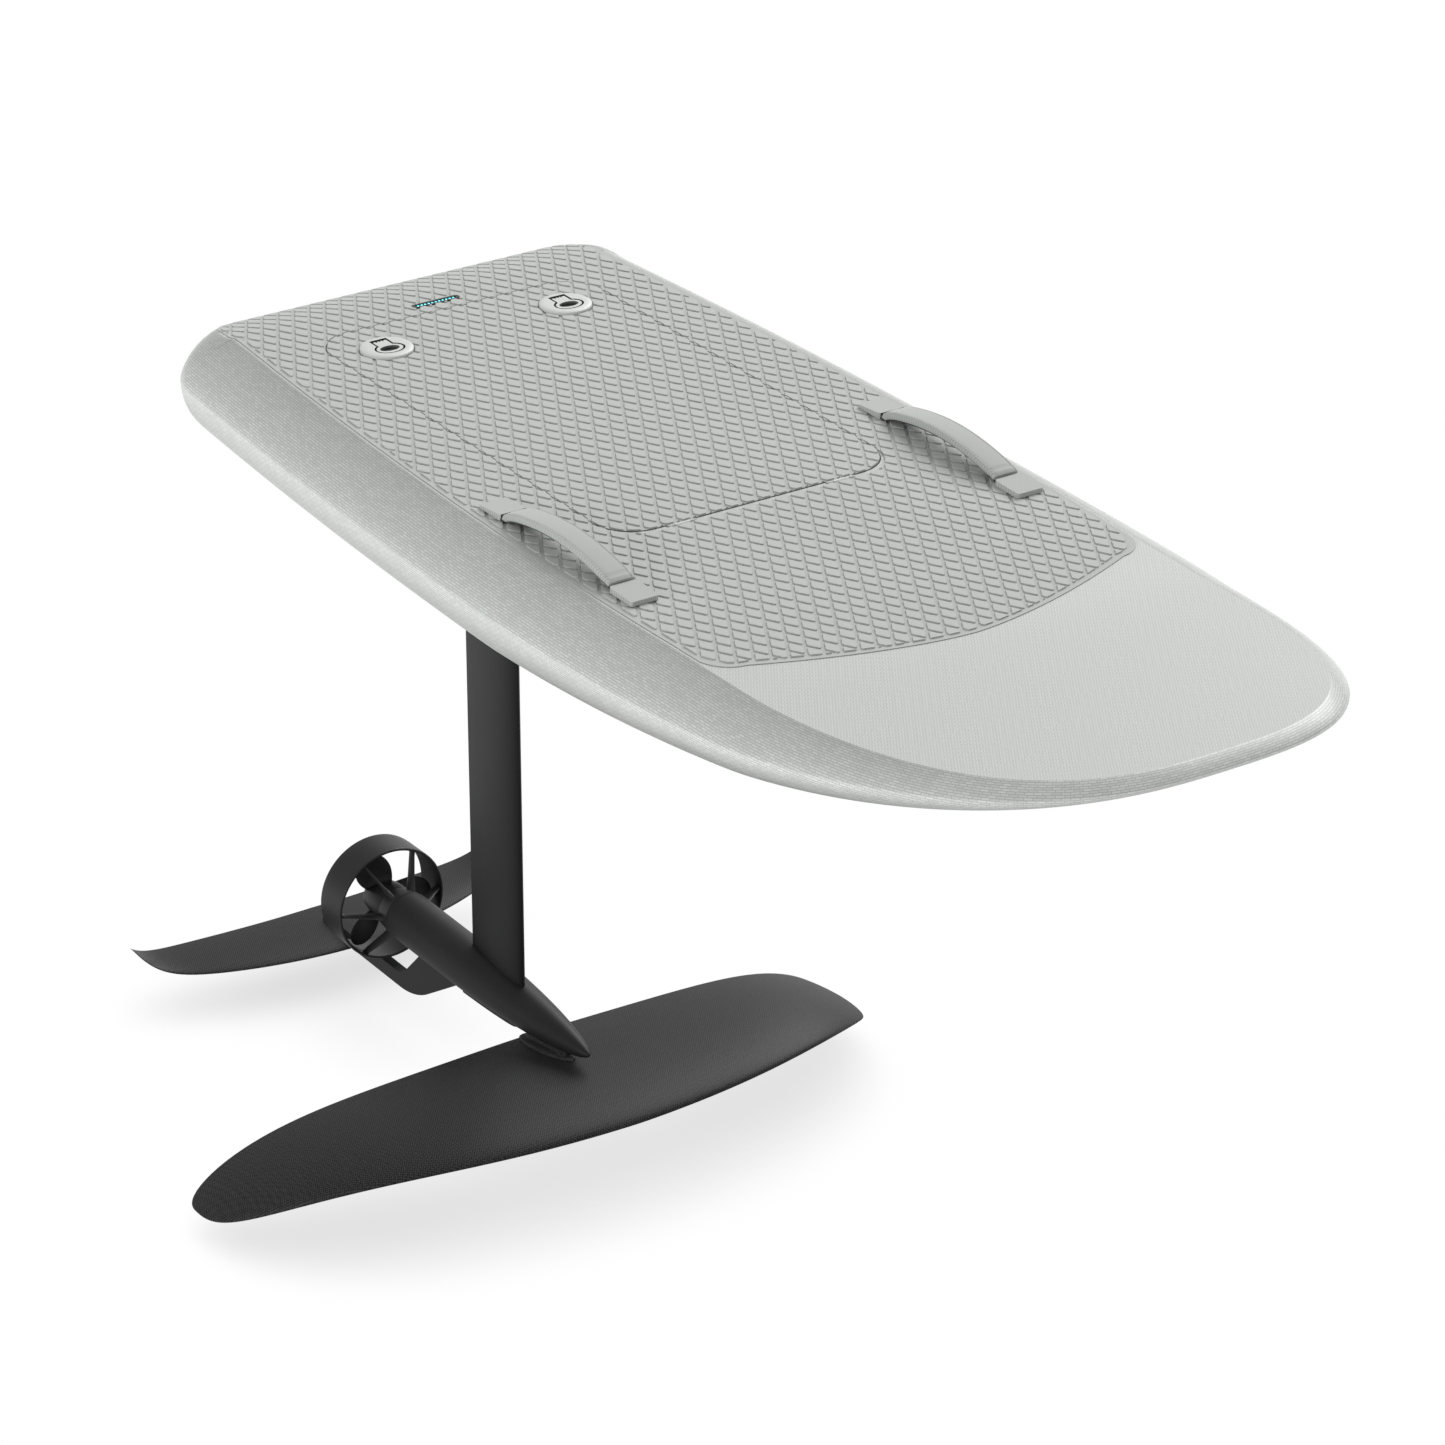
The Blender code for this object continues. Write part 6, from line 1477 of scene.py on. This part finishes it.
def make_wing(wing):
    """A wing through stations that close up toward its round tips."""
    behind_line = 1.0 - wing.sweep_line
    rings = []
    for i in range(-wing.stations, wing.stations + 1):
        narrowing = math.cos(QUARTER * WING_LOFTED_SHARE * i / wing.stations)
        share = (1.0 - narrowing**wing.tip_rounding) ** (1.0 / wing.chord_power)
        chord = wing.root_chord * (1.0 - share**wing.chord_power) ** (1.0 / wing.tip_rounding)
        line = wing.trailing_x + behind_line * wing.root_chord - wing.sweep * share**wing.sweep_power
        y = math.copysign(wing.half_span * share, i)
        z = wing.height + wing.tip_rise * share**wing.rise_power
        rings.append(wing_ring(wing, Vector((line - behind_line * chord, y, z)), chord))
    return loft(wing.name, rings, CARBON)


def wing_surfaces(x):
    """Heights of the front wing's underside and top on the centre line."""
    chord = FRONT_WING.root_chord
    ahead = x - FRONT_WING.trailing_x
    share = 1.0 - ahead / (chord * math.cos(FRONT_WING.incidence))
    middle = FRONT_WING.height + ahead * math.tan(FRONT_WING.incidence) + camber_line(chord, share)
    half = chord * section_thickness(share, FRONT_WING.thickness)
    return middle - half, middle + half


def screw_holes(*names):
    """Cutters for the bores of screws that come in from below."""
    tools = []
    for name in names:
        low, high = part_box(name)
        outline = circle(((low.x + high.x) / 2, 0.0), (high.x - low.x) / 2 + FIT, steps=32)
        tools.append(plate(name + "_hole", [outline], low.z - SCREW_HOLE_DEPTH, high.z - SCREW_HEAD))
    return tools


def saddle_section(x, share, steps=12):
    """The raised bed under the pod at one place."""
    low, high = wing_surfaces(x)
    swell = math.sin(math.pi * share) ** SADDLE_SWELL_POWER
    rounding = math.sqrt(1.0 - (SADDLE_LOFTED_SHARE * share) ** SADDLE_TIP_POWER)
    width = between(SADDLE_END_HALF_WIDTH, SADDLE_HALF_WIDTH, swell) * rounding
    foot = (low + high) / 2
    rise = high + SADDLE_RISE - foot
    half = []
    for step in shares(steps):
        lean = QUARTER * step
        across = width * math.cos(lean) ** SADDLE_SIDE_POWER
        half.append((across, foot + rise * math.sin(lean) ** SADDLE_TOP_POWER))
    return [(x, -across, z) for across, z in half] + [(x, across, z) for across, z in reversed(half[:-1])]


def make_front_wing():
    wing = make_wing(FRONT_WING)
    rear = FRONT_WING.trailing_x + 2 * FIT
    rings = [saddle_section(between(rear, SADDLE_TIP_X, share), share) for share in shares(SADDLE_STEPS)]
    outline = rounded_rectangle(
        rear + PYLON_INSET, SADDLE_TIP_X - PYLON_INSET, PYLON_HALF_WIDTH, PYLON_HALF_WIDTH - FIT
    )
    pylon = plate("wing_pylon", [outline], FRONT_WING.height, POD_AXIS_Z, CARBON)
    carve(wing, "UNION", loft("wing_saddle", rings, CARBON), pylon)
    carve(wing, "DIFFERENCE", pod_tool(FIT), *screw_holes("wing_screw_1", "wing_screw_2"))
    place(even_shading(wing, 40), "board", "front_wing")


# Tail arm

ARM_HALF_WIDTH = 0.0065
ARM_EDGE = 0.0025
ARM_FRONT_SLOPE = math.radians(32.6)
ARM_REAR_SLOPE = math.radians(46.0)
ARM_KNEE_X = -0.475
ARM_KNEE_RADIUS = 0.130
ARM_BOTTOM_Z = -0.8480
ARM_ELBOW_X = -0.481
ARM_ELBOW_RADIUS = 0.028
ARM_TOP_Z = -0.8280
ARM_TAIL_X = -0.668
ARM_FOOT_DEPTH = 0.72
TONGUE_HEIGHT = 0.010
TONGUE_TIP = 0.003


def arm_outline():
    """Side view of the tail arm as (x, z): foot on the pod, knee, tongue over the stabiliser, elbow."""
    foot_z = POD_AXIS_Z - POD_RADIUS * ARM_FOOT_DEPTH
    tongue_low = ARM_TOP_Z - TONGUE_HEIGHT
    down = -QUARTER
    knee_centre = (ARM_KNEE_X, ARM_BOTTOM_Z + ARM_KNEE_RADIUS)
    knee = arc(knee_centre, ARM_KNEE_RADIUS, down + ARM_FRONT_SLOPE, down, steps=18)
    elbow_centre = (ARM_ELBOW_X, ARM_TOP_Z + ARM_ELBOW_RADIUS)
    elbow = arc(elbow_centre, ARM_ELBOW_RADIUS, down, down + ARM_REAR_SLOPE, steps=14)
    front_foot_x = knee[0][0] + (foot_z - knee[0][1]) / math.tan(ARM_FRONT_SLOPE)
    rear_foot_x = elbow[-1][0] + (foot_z - elbow[-1][1]) / math.tan(ARM_REAR_SLOPE)
    step_x = STABILISER.trailing_x + STABILISER.root_chord + TONGUE_TIP
    return [
        (front_foot_x, foot_z),
        *knee,
        (step_x, ARM_BOTTOM_Z),
        (step_x, tongue_low),
        (ARM_TAIL_X, tongue_low),
        (ARM_TAIL_X, tongue_low + TONGUE_TIP),
        (ARM_TAIL_X + TONGUE_HEIGHT, ARM_TOP_Z),
        *elbow,
        (rear_foot_x, foot_z),
    ]


def arm_plate(name, gap, *materials):
    """The arm's outline as a standing plate, wider by a gap on each side."""
    reach = ARM_HALF_WIDTH + gap
    arm = plate(name, [arm_outline()], -reach, reach, *materials)
    arm.data.transform(Matrix.Rotation(QUARTER, 4, "X"))
    return arm


def make_tail():
    arm = baked(soften(arm_plate("tail_arm_body", 0.0, METAL), ARM_EDGE, 5))
    carve(arm, "DIFFERENCE", pod_tool(FIT))
    stabiliser = make_wing(STABILISER)
    seat = arm_plate("stabiliser_seat", FIT)
    seat.data.transform(Matrix.Translation((0, 0, -FIT)))
    carve(stabiliser, "DIFFERENCE", seat, *screw_holes("stabiliser_screw_1", "stabiliser_screw_2"))
    place(even_shading(arm, 40), "board", "tail_arm")
    place(even_shading(stabiliser, 40), "board", "stabiliser")


# CAD nodes that stay

KEPT = (
    (SHELL, ("bay_liner", "hatch_lid")),
    (BATTERY, ("battery_case",)),
    (RUBBER, ("hatch_seal", "mast_cable", "shaft_seal")),
    (WHITE, ("hinge_bracket",)),
    (PALE, ("hinge_leaf",)),
    (METAL, ("keel_panel", "mast_insert", "mast_plate")),
    (MAST, ("mast",)),
    (BLACK, ("latch_housing", "light_housing", "power_socket")),
    (GUARD, ("propeller_nut",)),
    (COPPER, ("motor_stator",)),
    (STEEL, ("front_bearing", "rear_bearing", "hinge_pin", "latch_cam", "latch_strike", "mast_bolt",
             "motor_rotor", "motor_shaft", "stabiliser_screw", "wing_screw")),
)


def smoothing_group():
    """Node group that welds a CAD node's faces and shades all but its sharp edges smooth."""
    group = bpy.data.node_groups.new("weld_and_smooth", "GeometryNodeTree")
    for way in ("INPUT", "OUTPUT"):
        group.interface.new_socket("Geometry", in_out=way, socket_type="NodeSocketGeometry")
    shape = add(group, "NodeGroupInput").outputs["Geometry"]
    inputs = {"Geometry": shape, "Distance": 0.00001}
    shape = add(group, "GeometryNodeMergeByDistance", inputs).outputs["Geometry"]
    shape = add(group, "GeometryNodeSetShadeSmooth", {"Geometry": shape}, domain="FACE").outputs["Geometry"]
    angle = add(group, "GeometryNodeInputMeshEdgeAngle").outputs["Unsigned Angle"]
    limits = {"A": angle, "B": math.radians(34)}
    gentle = add(group, "FunctionNodeCompare", limits, operation="LESS_THAN").outputs["Result"]
    inputs = {"Geometry": shape, "Shade Smooth": gentle}
    shape = add(group, "GeometryNodeSetShadeSmooth", inputs, domain="EDGE").outputs["Geometry"]
    add(group, "NodeGroupOutput", {"Geometry": shape})
    return group


def dress_kept_nodes():
    group = smoothing_group()
    material_of = {stem: material for material, stems in KEPT for stem in stems}
    for name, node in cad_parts.items():
        if node.hide_render:
            continue
        stem = name.rstrip("1234").removesuffix("_")
        for side in SIDES:
            stem = stem.removesuffix("_" + side)
        node.data.materials.clear()
        node.data.materials.append(material_of[stem])
        modifier = node.modifiers.new("weld_and_smooth", "NODES")
        modifier.node_group = group


# Studio


def make_floor():
    """A pale floor with a painted shadow that darkens it softly close under the foils, and which lights
    them less from close by.
    """
    builder = bmesh.new()
    bmesh.ops.create_grid(builder, x_segments=8, y_segments=8, size=FLOOR_HALF_SIZE)
    material, tree, shader = new_material("studio_floor")
    near = add(tree, "ShaderNodeAmbientOcclusion", {"Distance": CONTACT_REACH}, samples=24).outputs["AO"]
    painted_shadow = ramp(tree, near, (CONTACT_START, grey(CONTACT_SHADE)), (CONTACT_END, grey(1.0)))
    seen = add(tree, "ShaderNodeEmission", {"Color": painted_shadow, "Strength": 1.0}).outputs["Emission"]
    spot = add(tree, "ShaderNodeTexCoord").outputs["Object"]
    ends = {0: spot, 1: GLOW_CENTRE}
    away = add(tree, "ShaderNodeVectorMath", ends, operation="DISTANCE").outputs["Value"]
    glow = add(tree, "ShaderNodeMapRange", {
        "Value": away,
        "From Min": GLOW_NEAR,
        "From Max": GLOW_FAR,
        "To Min": GLOW_NEAR_STRENGTH,
        "To Max": GLOW_FAR_STRENGTH,
    }).outputs["Result"]
    lit = add(tree, "ShaderNodeEmission", {"Color": grey(1.0), "Strength": glow}).outputs["Emission"]
    to_camera = add(tree, "ShaderNodeLightPath").outputs["Is Camera Ray"]
    chosen = add(tree, "ShaderNodeMixShader", {0: to_camera, 1: lit, 2: seen}).outputs["Shader"]
    feed(tree, tree.nodes["Material Output"].inputs, {"Surface": chosen})
    tree.nodes.remove(shader)
    floor = finish_mesh(builder, "studio_floor", material)
    floor.location.z = cad_box[0].z - FLOOR_GAP


def area_light(name, location, target, width, height, power):
    light = bpy.data.lights.new(name, "AREA")
    light.shape = "RECTANGLE"
    light.size = width
    light.size_y = height
    light.energy = power
    obj = bpy.data.objects.new(name, light)
    obj.location = location
    obj.rotation_euler = (Vector(target) - Vector(location)).to_track_quat("-Z", "Y").to_euler()
    bpy.context.scene.collection.objects.link(obj)


def make_studio():
    world = bpy.data.worlds.new("studio")
    bpy.context.scene.world = world
    world.use_nodes = True
    sky = world.node_tree.nodes["Background"]
    feed(world.node_tree, sky.inputs, {"Color": grey(1.0), "Strength": SKY_STRENGTH})
    area_light("key_light", (-4.4, 8.6, 7.4), target=(0.3, 0.0, 0.0), width=9.0, height=9.0, power=1560.0)
    area_light("side_light", (1.0, -6.0, 1.3), target=(0.4, 0.0, 0.0), width=4.0, height=2.0, power=150.0)
    make_floor()
    camera = bpy.data.cameras.new("camera")
    camera.lens = LENS
    camera.sensor_width = SENSOR
    viewer = bpy.data.objects.new("camera", camera)
    columns = Matrix((CAMERA_RIGHT, CAMERA_UP, CAMERA_BACK)).transposed().to_4x4()
    viewer.matrix_world = Matrix.Translation(CAMERA_PLACE) @ columns
    bpy.context.scene.collection.objects.link(viewer)
    bpy.context.scene.camera = viewer
    bpy.context.scene.view_settings.view_transform = "Standard"


make_hull()
make_pads()
make_light()
for handle_side in SIDES:
    make_handle(handle_side)
for latch_side, latch_place in zip(SIDES, latch_centres()):
    make_latch(latch_side, *latch_place)
make_pod()
make_guard()
make_propeller()
make_front_wing()
make_tail()
dress_kept_nodes()
make_studio()
